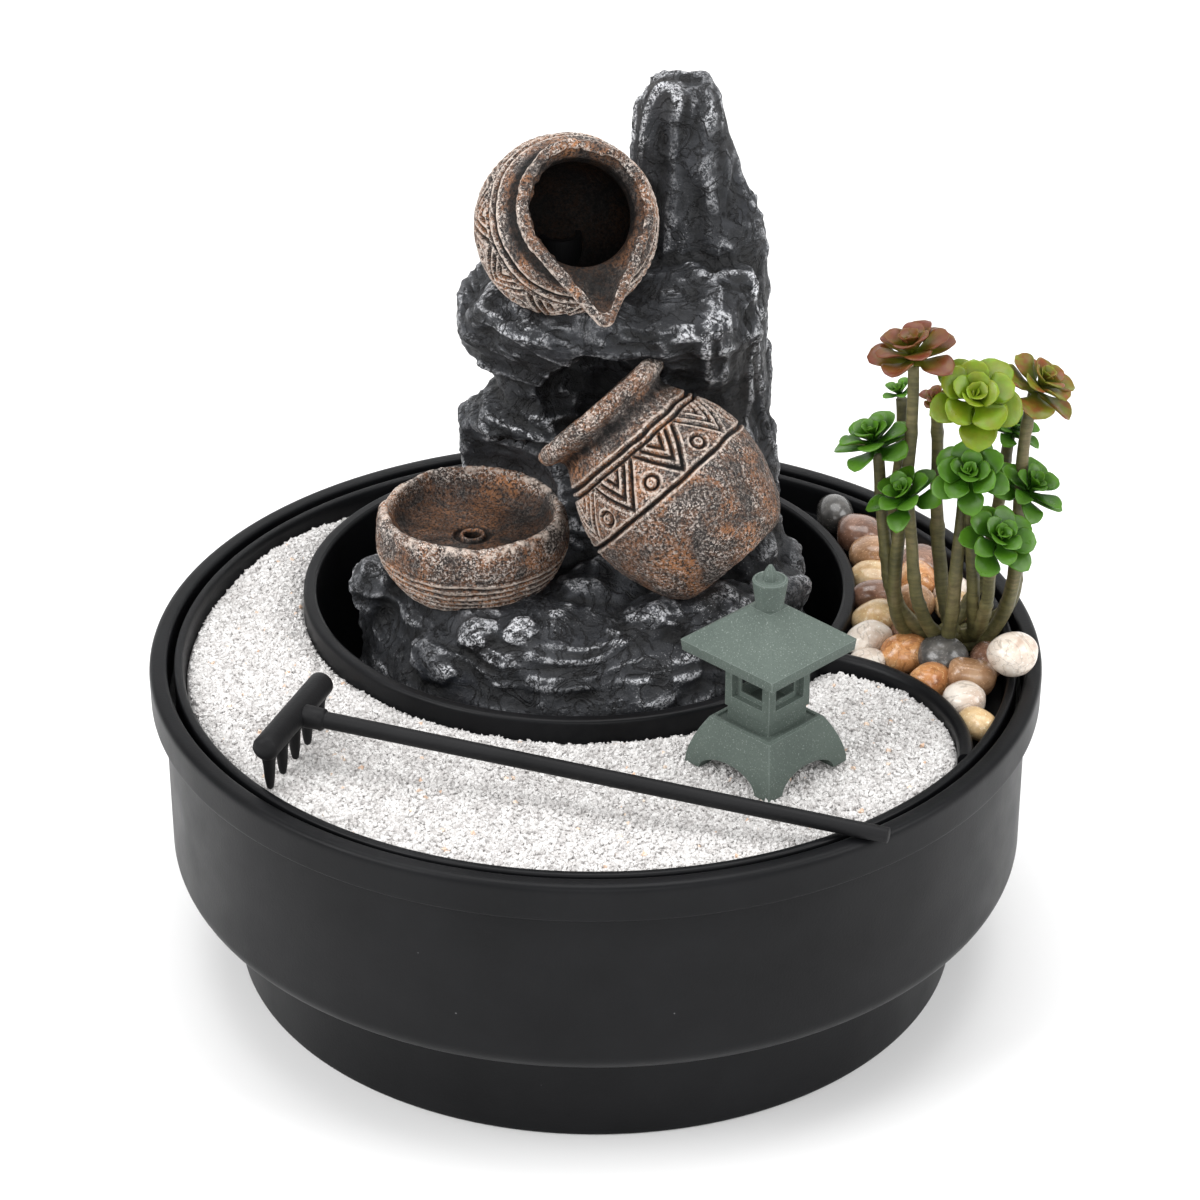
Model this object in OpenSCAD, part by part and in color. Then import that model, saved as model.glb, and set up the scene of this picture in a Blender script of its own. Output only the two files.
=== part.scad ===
// Tabletop water fountain with a small sand garden.
// Origin: centre of the bowl's flat base. +Z is up and the front faces -Y.

/* [Bowl] */
// Outside diameter of the bowl's lip
bowl_d = 230; // [228:1:232]
// Height of the bowl's lip above the table
bowl_h = 86.6; // [86:0.1:88]
// Outside radius of the bowl's tall side wall
wall_r = 111.5; // [111:0.1:112]
// Height where the side wall steps in to the foot
foot_h = 30; // [28:1:30]
// Radius of the foot where it meets the table
foot_r = 95.9; // [95:0.1:97]
// Radius of one anti-slip pad
pad_r = 6; // [5:0.5:7]

/* [Inner tray] */
// Outside radius of the tray's rim
tray_r = 108.7; // [108.5:0.1:108.9]
// Height of the rim, the pool ring and the divider
tray_h = 86; // [85:0.1:86.2]
// Outside radius of the pool's wall
pool_r = 73.6; // [73:0.1:74]
// Centre of the pool, across and along
pool_xy = [-4.3, 34];
// Thickness of the pool's wall
pool_wall = 3.6; // [3:0.1:4]
// Height of the pool's floor
pool_floor = 38; // [37:1:40]
// Height of the sand bay's floor
sand_floor = 69; // [68:1:70]
// Height of the plant bay's floor
plant_floor = 78; // [78:0.5:79]
// Height of the levelled sand
sand_top = 82.3; // [82:0.1:83]
// Radius of the curved divider, to its middle
divider_r = 45.2; // [45:0.1:45.5]
// Centre of the divider's curve
divider_xy = [46.4, -47.7];
// Thickness of the divider
divider_t = 4; // [3:0.5:4]

/* [Pump] */
// Pump housing: width, depth and height
pump_size = [36, 30, 26];
// Front of the pump housing, and its underside
pump_front = 31; // [30:1:32]
pump_z = 44; // [44:1:45]
// Outside radius of the outlet nozzle
nozzle_r = 4; // [3.8:0.1:4]
// Number of impeller blades
blades = 6; // [4:1:8]
// Number of intake holes
intake_holes = 6; // [4:1:8]

/* [Sculpture] */
// Top of the rock slab
rock_top = 220; // [215:1:220]
// Inside radius of the water tube
tube_r = 4.05; // [4.05:0.01:4.1]
// Radius of the drain bowl's rim
drain_bowl_r = 24.4; // [24:0.1:25]
// Radius of the round jar's belly
jar_r = 24.5; // [24:0.1:25]
// Radius of the pouring jug's body
jug_r = 24.7; // [24:0.1:25]

/* [Lantern] */
// Side of the square across the four feet
lantern_w = 28.4; // [27:0.1:30]
// Side of the roof
lantern_roof_w = 30.4; // [29:0.1:31]
// Side of the light box
lantern_box_w = 14.8; // [14:0.1:15]

/* [Rake] */
// Radius of the rake's head bar
rake_bar_r = 3.2; // [3:0.1:3.4]
// Length of the head bar
rake_bar_l = 36; // [34:1:38]
// Number of tines
tines = 5; // [4:1:6]
// Radius of the handle
handle_r = 1.9; // [1.7:0.1:2]

/* [Plant] */
// Radius of a stem at its foot
stem_r = 1.35; // [1.2:0.05:1.4]
// Where the plant stands in its bay
plant_xy = [94.5, 12];

/* [Hidden] */
gap = 0.3;
lip_h = 9.5;
ledge_z = 76;
ledge_r = 106.2;
lip_in_r = 110.4;
side_t = 2.4;
tray_wall_r = 105.7;
tray_inner_r = 103.7;
cord_x = pool_xy[0];
gland_z = 18;
pump_cx = 0;
pump_cy = pump_front + pump_size[1] / 2;
pump_top = pump_z + pump_size[2];
rotor_z = pump_z + 15;
nozzle_y = pump_front + 4.5;
nozzle_top = pump_top + 10;
tube_t = 1.5;
tube_z = pump_top + 3;
tube_top = 181;
tube_end = [-9, 46];
bowl_base = [-32.1, 20, 95];
jar_mouth = [0, 20, 145.2];
jar_turn = [0, -47.3, -26.1];
jar_len = 54;
jug_centre = [-5.9, 30, 190];
jug_turn = [54, 0, 15];
lantern_xy = [42, -52];
lantern_z = sand_top + gap;
rake_tail = [-80.4, -68.4];
rake_angle = 69.5;
rake_z = 95;
handle_start = [-73.7, -50.6, rake_z];
handle_end = [69.5, -95.2, 88.3];
stem_hub_z = plant_floor + gap;
facets = 64;

// Rosettes: name, centre, radius, and the way the rosette faces (tilt, turn).
ROSETTES = [
    ["red_left", [78.5, 2, 168], 10.6, 12, -60],
    ["lime_top", [94.1, -4, 158], 11, 40, 0],
    ["red_right", [111.8, 8.4, 156], 9.6, 30, 60],
    ["red_small", [86.1, 12, 150], 4.6, 25, -30],
    ["green_a", [70.3, 4, 142.5], 9.6, 20, -70],
    ["green_b", [77.9, -4, 131], 8.8, 30, -50],
    ["green_c", [93.5, -8, 139], 9.6, 42, -10],
    ["green_d", [110.5, 7, 127], 9.6, 32, 50],
    ["green_e", [101.4, -9.6, 121.4], 9.4, 40, 20],
    ["green_f", [107, 18, 139], 7, 20, 60],
    ["green_g", [77.6, 19.4, 148.2], 5, 20, -60],
];

$fn = facets;

// ---------- helpers ----------

// Triangles of a closed loft: m rings of n points, bottom ring first.
function loft_faces(n, m) = concat(
    [for (i = [1:n - 2]) [0, i, i + 1]],
    [for (k = [0:m - 2]) for (i = [0:n - 1]) let (a = k * n + i, b = k * n + (i + 1) % n)
        each [[a, a + n, b + n], [a, b + n, b]]],
    [for (i = [1:n - 2]) let (c = (m - 1) * n) [c, c + i + 1, c + i]]);

function bezier(a, b, c, d, t) =
    pow(1 - t, 3) * a + 3 * t * pow(1 - t, 2) * b + 3 * t * t * (1 - t) * c + pow(t, 3) * d;
function unit(v) = v / norm(v);
function facing(tilt, turn) = [sin(tilt) * sin(turn), -sin(tilt) * cos(turn), cos(tilt)];

// A flat ring, or a disc where the inner radius is zero.
module ring(outer, inner, z0, z1) {
    translate([0, 0, z0]) linear_extrude(z1 - z0) difference() {
        circle(outer, $fn = 128);
        if (inner > 0) circle(inner, $fn = 128);
    }
}

// A body turned from a list of [radius, height] points.
module turned(points) {
    rotate_extrude($fn = facets) polygon(points);
}

// ---------- bowl ----------

module outer_bowl() {
    inner_side = wall_r - side_t;
    color("#1c1d20") difference() {
        rotate_extrude($fn = 128) polygon([
            [0, 0], [foot_r - 0.8, 0], [foot_r, 0.8], [foot_r + 1.1, foot_h - 1],
            [foot_r + 2.6, foot_h], [wall_r - 1.6, foot_h + 0.6], [wall_r, foot_h + 2.4],
            [wall_r, bowl_h - lip_h], [bowl_d / 2 - 0.6, bowl_h - lip_h],
            [bowl_d / 2, bowl_h - lip_h + 0.6], [bowl_d / 2, bowl_h - 1.8],
            [bowl_d / 2 - 1.4, bowl_h], [lip_in_r + 1.2, bowl_h], [lip_in_r, bowl_h - 1],
            [lip_in_r, ledge_z], [ledge_r, ledge_z], [ledge_r, ledge_z - 3],
            [inner_side, ledge_z - 3], [inner_side, foot_h + 3],
            [foot_r - 1.3, foot_h + 3], [foot_r - 2.3, 3], [0, 3]]);
        for (a = [45:90:315]) rotate([0, 0, a])
            translate([78, 0, -1]) cylinder(r = pad_r, h = 2.5);
        translate([cord_x - 3, ledge_r - 2, ledge_z - 4]) cube([6, inner_side - ledge_r + 1.6, 5]);
        translate([-4.5, foot_r - 10, gland_z - 4.5]) cube([9, 20, 9]);
    }
}

module base_pads() {
    color("#0d0d0e") for (a = [45:90:315]) rotate([0, 0, a])
        translate([78, 0, 0]) cylinder(r = pad_r - 0.05, h = 1.5);
}

module cord_grommet() {
    color("#101012") translate([0, 0, gland_z]) rotate([-90, 0, 0]) difference() {
        union() {
            translate([0, 0, 91.6]) cylinder(r = 7, h = 1.8);
            translate([-4.45, -4.45, 91.6]) cube([8.9, 8.9, 7.3]);
            translate([0, 0, 97.1]) cylinder(r = 7, h = 1.8);
        }
        translate([0, 0, 91]) cylinder(r = 1.65, h = 9);
    }
}

// ---------- tray ----------

module pool_disc(r) {
    translate(pool_xy) circle(r, $fn = 128);
}

// The part of the tray beyond the curved divider, right round to the pool's rear.
module plant_side(r) {
    difference() {
        union() {
            translate([pool_xy[0] - 8, 0]) square([130, 112]);
            translate([55, -62]) square([60, 63]);
        }
        translate(divider_xy) circle(r, $fn = 128);
        translate([20, -60]) square([35, 60]);
        pool_disc(pool_r - 0.5);
    }
}

module inner_tray() {
    color("#17181a") difference() {
        union() {
            ring(tray_wall_r, tray_inner_r, sand_floor - 2, ledge_z + gap);
            ring(tray_r, tray_inner_r, ledge_z + gap, plant_floor);
            ring(tray_r, tray_r - 2.4, plant_floor - 0.01, tray_h);
            translate([0, 0, sand_floor - 2]) linear_extrude(2) difference() {
                circle(tray_wall_r - 1, $fn = 128);
                pool_disc(pool_r - 1);
            }
            translate([0, 0, plant_floor - 2]) linear_extrude(2) intersection() {
                circle(tray_wall_r - 1, $fn = 128);
                plant_side(divider_r);
            }
            translate([0, 0, sand_floor - 1]) linear_extrude(tray_h - sand_floor + 1) intersection() {
                circle(tray_wall_r, $fn = 128);
                difference() {
                    plant_side(divider_r - divider_t / 2);
                    plant_side(divider_r + divider_t / 2);
                    translate([0, 0]) square([115, 112]);
                }
            }
            translate([0, 0, pool_floor - 2]) linear_extrude(ledge_z + gap - pool_floor + 2)
                intersection() {
                    pool_disc(pool_r);
                    circle(tray_wall_r, $fn = 128);
                }
            translate([0, 0, ledge_z]) linear_extrude(tray_h - ledge_z) intersection() {
                pool_disc(pool_r);
                circle(tray_r, $fn = 128);
            }
            translate([plant_xy[0], plant_xy[1], sand_floor - 1]) cylinder(r = 6, h = 8);
        }
        translate([pool_xy[0], pool_xy[1], pool_floor]) cylinder(r = pool_r - pool_wall, h = 60, $fn = 128);
        translate([plant_xy[0], plant_xy[1], sand_floor]) cylinder(r = 3.1, h = 20);
        translate([cord_x - 3, 98, 80]) cube([6, 14, 10]);
    }
}

module sand_bed() {
    color("#eeeae2") translate([0, 0, sand_floor]) linear_extrude(sand_top - sand_floor) difference() {
        circle(tray_inner_r - 0.05, $fn = 128);
        pool_disc(pool_r + 0.05);
        plant_side(divider_r - divider_t / 2 - 0.05);
    }
}

// A smooth pebble: half-width, half-height, place.
module pebble(r, h, at) {
    translate(at) rotate_extrude($fn = 24)
        polygon([for (a = [-90:30:90]) [max(0, r * cos(a)), h * sin(a)]]);
}

// Each pebble: place across and along, and half-width.
PEBBLES_DARK = [[66, 76, 5], [90, -3.5, 5.6], [87.5, 48, 5.4], [81.5, 10.5, 4.2], [101, -3.5, 4.6]];
PEBBLES_WARM = [[80, 0.5, 5], [96, -13, 5.2], [72, 64.5, 5.6], [85.5, 37, 5.2], [84.5, 26, 5],
    [75.5, 52.5, 5.2], [85.5, -13.2, 4.6], [75, 30, 5]];
PEBBLES_PALE = [[71.5, 7, 5], [74, 18.5, 5.2], [75, 41, 5], [95.5, 34.5, 4.4], [83.5, 58.5, 4],
    [95.5, 25.3, 4.4], [93.5, -24, 5], [96, -34, 3.9], [70, -2.5, 3.6]];
// One pebble lies on the rim: place and half-width.
RIM_PEBBLE = [106, -17, 5.6];
pebble_flatness = 0.86;

module pebbles(list) {
    for (p = list) let (h = p[2] * pebble_flatness)
        pebble(p[2], h, [p[0], p[1], plant_floor + h + 0.05]);
}

module pebbles_dark() { color("#4c4743") pebbles(PEBBLES_DARK); }
module pebbles_warm() { color("#a8714b") pebbles(PEBBLES_WARM); }
module pebbles_pale() {
    h = RIM_PEBBLE[2] * pebble_flatness;
    color("#ded6c4") {
        pebbles(PEBBLES_PALE);
        pebble(RIM_PEBBLE[2], h, [RIM_PEBBLE[0], RIM_PEBBLE[1], bowl_h + h + gap]);
    }
}

// ---------- pump ----------

// A cylinder that lies along Y on the rotor's axis, from y0 to y1.
module along_rotor(r, y0, y1) {
    translate([pump_cx, y0, rotor_z]) rotate([-90, 0, 0]) cylinder(r = r, h = y1 - y0);
}

module around_intake(radius) {
    for (i = [0:intake_holes - 1]) let (a = i * 360 / intake_holes)
        translate([radius * cos(a), 0, radius * sin(a)]) children();
}

module pump_housing() {
    w = pump_size[0];
    color("#202226") difference() {
        union() {
            translate([pump_cx - w / 2, pump_front, pump_z]) cube(pump_size);
            translate([pump_cx, nozzle_y, pump_top - 1]) cylinder(r = nozzle_r, h = 11);
        }
        along_rotor(10.4, pump_front - 1, pump_front + 8.6);
        along_rotor(6.5, pump_front + 8, pump_front + 25);
        along_rotor(1, pump_front + 24, pump_front + 27);
        translate([pump_cx, nozzle_y, rotor_z]) cylinder(r = 2.8, h = 30);
        difference() {
            translate([pump_cx - 14.2, pump_front + 10.8, pump_z + 1.5]) cube([28.4, 12.4, 22.6]);
            along_rotor(8, pump_front, pump_front + 30);
        }
        translate([pump_cx - 10, pump_front + 20, pump_z + 6]) rotate([-90, 0, 0]) cylinder(r = 2.5, h = 12);
        for (sx = [-1, 1]) for (sy = [0, 1])
            translate([pump_cx + sx * 12, pump_front + 6 + sy * 18, pump_z - 1]) cylinder(r = 1.5, h = 2.4);
    }
}

module pump_cover() {
    w = pump_size[0];
    color("#2a2d32") difference() {
        union() {
            translate([pump_cx - w / 2, pump_front - 3, pump_z]) cube([w, 3, pump_size[2]]);
            along_rotor(1.5, pump_front - 6.2, pump_front - 2);
        }
        around_intake(6.2) along_rotor(1.7, pump_front - 4, pump_front + 1);
        along_rotor(1, pump_front - 1.5, pump_front + 1);
    }
}

module flow_dial() {
    color("#3d4148") difference() {
        union() {
            along_rotor(9, pump_front - 5.2, pump_front - 3.4);
            translate([pump_cx - 1.2, pump_front - 5.2, rotor_z + 8]) cube([2.4, 1.8, 3.4]);
        }
        along_rotor(1.56, pump_front - 6, pump_front - 3);
        around_intake(6.2) along_rotor(1.7, pump_front - 6, pump_front - 3);
    }
}

module pump_suction_cups() {
    color("#d8dde0", 0.8) for (sx = [-1, 1]) for (sy = [0, 1])
        translate([pump_cx + sx * 12, pump_front + 6 + sy * 18, pool_floor]) turned([
            [0, 0.6], [4, 0.02], [5, 0.02], [4.2, 1.6], [2.2, 3.4], [2.2, 5.9],
            [1.4, 6], [1.4, 7.3], [0, 7.3]]);
}

module pump_cord_gland() {
    color("#15161a") translate([pump_cx - 10, 0, pump_z + 6]) rotate([-90, 0, 0]) difference() {
        union() {
            translate([0, 0, pump_front + 24]) cylinder(r = 2.45, h = 10);
            translate([0, 0, pump_front + 30.05]) cylinder(r1 = 3.4, r2 = 2.6, h = 5);
        }
        translate([0, 0, pump_front + 27]) cylinder(r = 1.65, h = 10);
    }
}

module stator_core() {
    color("#7d6a55") difference() {
        translate([pump_cx - 14, pump_front + 11, pump_z + 1.7]) cube([28, 12, 22.2]);
        along_rotor(8.1, pump_front, pump_front + 30);
    }
}

module impeller_shaft() {
    color("#e8e6e0") along_rotor(0.98, pump_front - 1.4, pump_front + 26.8);
}

module impeller() {
    color("#c9ced2") difference() {
        union() {
            along_rotor(3, pump_front + 1.2, pump_front + 24.4);
            for (i = [0:blades - 1]) translate([pump_cx, 0, rotor_z]) rotate([0, i * 360 / blades, 0])
                translate([-0.6, pump_front + 2, 0]) cube([1.2, 5.6, 9.2]);
        }
        along_rotor(1.05, pump_front, pump_front + 26);
    }
}

module rotor_magnet() {
    color("#3a3a3e") difference() {
        along_rotor(6.1, pump_front + 9.4, pump_front + 24.2);
        along_rotor(3.02, pump_front + 9, pump_front + 25);
    }
}

// ---------- sculpture ----------

// Rock sections: height, centre across, centre along, half-width, half-depth.
ROCK = [[38.3, -4, 34, 59, 59], [58, -4, 34, 60, 60], [76, -4, 33, 60, 59], [86, -4, 32, 57, 55],
    [92, -5, 32, 53, 50], [96, -4, 35, 48, 43], [100, 2, 40, 41, 31], [112, 8, 43, 38, 25],
    [125, 7, 44, 39, 23], [140, 7, 45, 38, 22], [152, 4, 44, 38, 22], [163, 3, 44, 37, 22],
    [169, 7, 46, 32, 19], [175, 22, 49, 24, 15], [190, 26, 52, 18, 12], [204, 23, 52, 15, 11],
    [213, 21, 52, 12, 9], [rock_top, 21, 52, 8, 6]];
rock_sides = 36;
hollow_r = 50;
function rough(a, z) = 1 + 0.035 * sin(5 * a + 6 * z) + 0.025 * sin(9 * a - 11 * z + 40);

module rock_mass() {
    polyhedron([for (s = ROCK) for (i = [0:rock_sides - 1]) let (a = i * 360 / rock_sides, k = rough(a, s[0]))
        [s[1] + s[3] * k * cos(a), s[2] + s[4] * k * sin(a), s[0]]],
        loft_faces(rock_sides, len(ROCK)), convexity = 6);
}

module fountain_rock() {
    color("#2b2c2f") difference() {
        rock_mass();
        translate([pool_xy[0], pool_xy[1], pool_floor - 1]) cylinder(r = hollow_r, h = 33);
        translate([-23, 21, pool_floor - 1]) cube([46, 48, 47]);
        for (a = [35, 125]) translate([pool_xy[0], pool_xy[1], pool_floor]) rotate([0, 0, a])
            rotate([90, 0, 0]) cylinder(r = 5, h = 160, center = true);
        hose(tube_r + tube_t + 0.1, 0);
        translate([bowl_base[0], bowl_base[1], 30]) cylinder(r = 2.4, h = 80);
        place_drain_bowl() turned(drain_bowl_outline(0.1));
        place_jar() turned(jar_outline(0.1));
        place_jug() turned(jug_outline(0.1));
    }
}

module place_drain_bowl() { translate(bowl_base) children(); }
module place_jar() { translate(jar_mouth) rotate(jar_turn) children(); }
module place_jug() { translate(jug_centre) rotate(jug_turn) children(); }

// Filled outlines, grown by g to leave a glue line in the rock.
function drain_bowl_outline(g) = [[0, -g], [17 + g, -g], [22.5 + g, 4], [25 + g, 9], [25.2 + g, 13],
    [drain_bowl_r + g, 18], [drain_bowl_r - 0.9, 20 + g], [0, 20 + g]];
function jar_outline(g) = [[0, -jar_len - g], [15 + g, -jar_len - g], [20 + g, -48], [jar_r - 1 + g, -38],
    [jar_r + g, -30], [jar_r - 1.6 + g, -21], [19 + g, -13], [16.8 + g, -8], [17.4 + g, -5.4],
    [20.4 + g, -3.6], [20.8 + g, -1.2], [19.6 + g, g], [0, g]];
function jug_outline(g) = [[0, -22 - g], [10 + g, -22 - g], [17 + g, -18], [22.4 + g, -10.4],
    [jug_r + g, 0], [23 + g, 8.6], [19 + g, 14.6], [17.4 + g, 17.6], [18 + g, 20 + g], [0, 20 + g]];

module drain_bowl() {
    color("#8a5f42") place_drain_bowl() difference() {
        turned(drain_bowl_outline(0));
        turned([[0, 12], [17, 12.2], [20.4, 14.6], [21.4, 18], [21.8, 21], [0, 21]]);
        translate([0, 0, 11.4]) difference() {
            cylinder(r = 4.9, h = 3);
            translate([0, 0, -1]) cylinder(r = 3.4, h = 5);
        }
        translate([0, 0, -1]) cylinder(r = 2.2, h = 30);
    }
}

module round_jar() {
    color("#8a5f42") place_jar() difference() {
        turned(jar_outline(0));
        turned([[0, -49], [14, -49], [18.4, -42], [20.6, -34], [20.8, -28], [18.6, -20], [14.6, -13],
            [13.4, -8], [14.4, -4], [16.4, -0.6], [17, 1], [0, 1]]);
    }
}

// The lip runs out to a pinched spout on the low side.
module jug_spout(r, tip, reach, z0, z1) {
    hull() {
        translate([0, -4, z0]) cylinder(r = r, h = 2, $fn = 32);
        translate([0, -4, z1 - 1]) cylinder(r = r + 0.6, h = 1, $fn = 32);
        translate([0, -reach, z1 - 2.4]) cylinder(r = tip, h = 2.4, $fn = 24);
    }
}

module pouring_jug() {
    color("#8a5f42") difference() {
        place_jug() difference() {
            union() {
                turned(jug_outline(0));
                jug_spout(14, 2.6, 26.2, 11, 22);
            }
            turned([[0, -18.6], [9, -18.4], [15, -14.6], [19.4, -8], [21, 0], [19.4, 7], [15.4, 13],
                [13, 17], [13.4, 21], [0, 21]]);
            jug_spout(9.6, 1, 23.4, 15, 24);
            intersection() {
                translate([0, 0, 15]) cylinder(r = 13.4, h = 10);
                translate([-20, -20, 15]) cube([40, 40, 10]);
            }
        }
        translate([tube_end[0], tube_end[1], 165]) cylinder(r = tube_r + tube_t + 0.1, h = 20);
    }
}

// The water's way from the pump nozzle, behind the round jar, up to the jug's foot.
function hose_path(over) = concat([[pump_cx, nozzle_y, tube_z - over]],
    [for (t = [0:0.125:1]) bezier([pump_cx, nozzle_y, 81], [pump_cx, nozzle_y, 112],
        [tube_end[0], tube_end[1], 120], [tube_end[0], tube_end[1], 150], t)],
    [[tube_end[0], tube_end[1], tube_top + over]]);

module hose(r, over) {
    path = hose_path(over);
    sides = 32;
    polyhedron([for (p = path) for (j = [0:sides - 1]) let (a = j * 360 / sides)
        p + r * [cos(a), sin(a), 0]], loft_faces(sides, len(path)), convexity = 4);
}

module water_tube() {
    color("#cfd8dc", 0.7) difference() {
        hose(tube_r + tube_t, 0);
        hose(tube_r, 1);
    }
}

// ---------- lantern ----------

module on_lantern(z) {
    translate([lantern_xy[0], lantern_xy[1], lantern_z + z]) rotate([0, 0, 45]) children();
}

module square_block(w, h) {
    translate([-w / 2, -w / 2, 0]) cube([w, w, h]);
}

// A four-sided block that narrows in steps from w0 to w1 along a power curve.
module flared_block(w0, w1, h, steps, bend) {
    for (i = [0:steps - 1]) let (t = i / (steps - 1))
        translate([0, 0, h * i / steps]) square_block(w1 + (w0 - w1) * pow(1 - t, bend), h / steps + 0.01);
}

module lantern_base() {
    arch = lantern_w / 2 - 5.4;
    color("#5d6f66") on_lantern(0) difference() {
        union() {
            flared_block(lantern_w, 19.6, 12, 8, 2.2);
            translate([0, 0, 12]) square_block(20.8, 2);
        }
        for (a = [0, 90]) rotate([0, 0, a]) translate([0, 20, 0]) rotate([90, 0, 0])
            linear_extrude(40) intersection() {
                translate([0, -3]) circle(arch);
                translate([-15, -1]) square([30, 8]);
            }
        translate([0, 0, -1]) cylinder(r = 6, h = 4);
    }
}

module lantern_light_box() {
    w = lantern_box_w;
    color("#5d6f66") on_lantern(14) difference() {
        union() {
            square_block(12.6, 2.4);
            translate([0, 0, 2]) square_block(w, 16.4);
        }
        translate([0, 0, 4]) square_block(w - 4, 20);
        for (a = [0, 90]) rotate([0, 0, a]) translate([-3.6, -20, 6]) cube([7.2, 40, 7.2]);
    }
}

module lantern_roof() {
    w = lantern_roof_w;
    color("#5d6f66") on_lantern(31.5) difference() {
        union() {
            square_block(w, 3);
            translate([0, 0, 3]) rotate([0, 0, 45]) cylinder(r1 = w * 0.7071, r2 = 6, h = 9, $fn = 4);
        }
        translate([0, 0, -1]) square_block(w - 5, 2);
        translate([0, 0, 8]) cylinder(r = 2, h = 10);
    }
}

module lantern_finial() {
    color("#5d6f66") on_lantern(43.5) turned([[0, -3], [1.95, -3], [1.95, 0], [4, 0], [3.4, 2.6], [3.5, 4.6],
        [4.4, 6.6], [4.4, 7.4], [2.9, 8.2], [1.6, 10.4], [0.5, 11.8], [0, 12]]);
}

// ---------- rake ----------

module rake_head() {
    color("#141416") translate([rake_tail[0], rake_tail[1], rake_z]) rotate([0, 0, rake_angle]) {
        rotate([0, 90, 0]) cylinder(r = rake_bar_r, h = rake_bar_l);
        for (i = [0:tines - 1])
            translate([3.4 + i * (rake_bar_l - 6.8) / (tines - 1), 0, lantern_z - rake_z])
                cylinder(r1 = 0.9, r2 = 1.7, h = rake_z - lantern_z);
    }
}

module rake_handle() {
    v = handle_end - handle_start;
    color("#161618") translate(handle_start) rotate([0, 0, atan2(v[1], v[0])])
        rotate([0, acos(v[2] / norm(v)), 0]) translate([0, 0, rake_bar_r - 1.2])
            cylinder(r1 = handle_r + 0.3, r2 = handle_r, h = norm(v) - rake_bar_r);
}

// ---------- plant ----------

function rosette_foot(r) = r[1] - 0.62 * r[2] * facing(r[3], r[4]);

// One curved, tapering stem from the hub to the underside of a rosette.
module stem(i) {
    r = ROSETTES[i];
    a = i * 360 / len(ROSETTES) + 200;
    foot = [plant_xy[0] + 4.6 * cos(a), plant_xy[1] + 4.6 * sin(a), stem_hub_z + 2];
    top = rosette_foot(r);
    low = foot + [5 * cos(a), 5 * sin(a), 16];
    high = top - 12 * facing(r[3], r[4]) - [0, 0, 6];
    rings = 9;
    sides = 8;
    polyhedron([for (k = [0:rings - 1]) let (t = k / (rings - 1),
            p = bezier(foot, low, high, top, t),
            q = unit(bezier(foot, low, high, top, t + 0.01) - bezier(foot, low, high, top, t - 0.01)),
            u = unit(cross(q, [0, 1, 0])), w = cross(q, u), s = stem_r * (1 - 0.35 * t))
        for (j = [0:sides - 1]) let (b = j * 360 / sides) p + s * (u * cos(b) + w * sin(b))],
        loft_faces(sides, rings), convexity = 4);
}

module plant_stems() {
    color("#6b6238") union() {
        translate([plant_xy[0], plant_xy[1], sand_floor + gap]) cylinder(r = 3, h = 12);
        translate([plant_xy[0], plant_xy[1], stem_hub_z]) cylinder(r = 6.4, h = 2.6);
        for (i = [0:len(ROSETTES) - 1]) stem(i);
    }
}

// Layers of rounded leaves, widest at the bottom.
module rosette(i, shade) {
    r = ROSETTES[i];
    size = r[2];
    color(shade) translate(r[1]) rotate([0, 0, r[4]]) rotate([r[3], 0, 0])
        for (layer = [0:2]) let (reach = size * (1 - 0.24 * layer), count = 6 - layer)
            translate([0, 0, size * (-0.6 + 0.36 * layer)]) linear_extrude(size * 0.36) union() {
                circle(reach * 0.45, $fn = 24);
                for (k = [0:count - 1]) rotate([0, 0, k * 360 / count + 27 * layer])
                    translate([reach * 0.62, 0]) circle(reach * 0.38, $fn = 24);
            }
}

outer_bowl();
base_pads();
cord_grommet();
inner_tray();
sand_bed();
pebbles_dark();
pebbles_warm();
pebbles_pale();
pump_housing();
pump_cover();
pump_suction_cups();
pump_cord_gland();
stator_core();
impeller_shaft();
impeller();
rotor_magnet();
flow_dial();
fountain_rock();
pouring_jug();
round_jar();
drain_bowl();
water_tube();
lantern_base();
lantern_light_box();
lantern_roof();
lantern_finial();
rake_head();
rake_handle();
plant_stems();
rosette(0, "#8a4a36");  // rosette_red_left
rosette(1, "#a6c84a");  // rosette_lime_top
rosette(2, "#8f5a36");  // rosette_red_right
rosette(3, "#8a4a36");  // rosette_red_small
rosette(4, "#4f9a3c");  // rosette_green_a
rosette(5, "#4f9a3c");  // rosette_green_b
rosette(6, "#5aa23c");  // rosette_green_c
rosette(7, "#4f9a3c");  // rosette_green_d
rosette(8, "#5fae44");  // rosette_green_e
rosette(9, "#4f9a3c");  // rosette_green_f
rosette(10, "#4f9a3c");  // rosette_green_g
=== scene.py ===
"""Looks of the tabletop water fountain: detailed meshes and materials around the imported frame."""
import math

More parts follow.
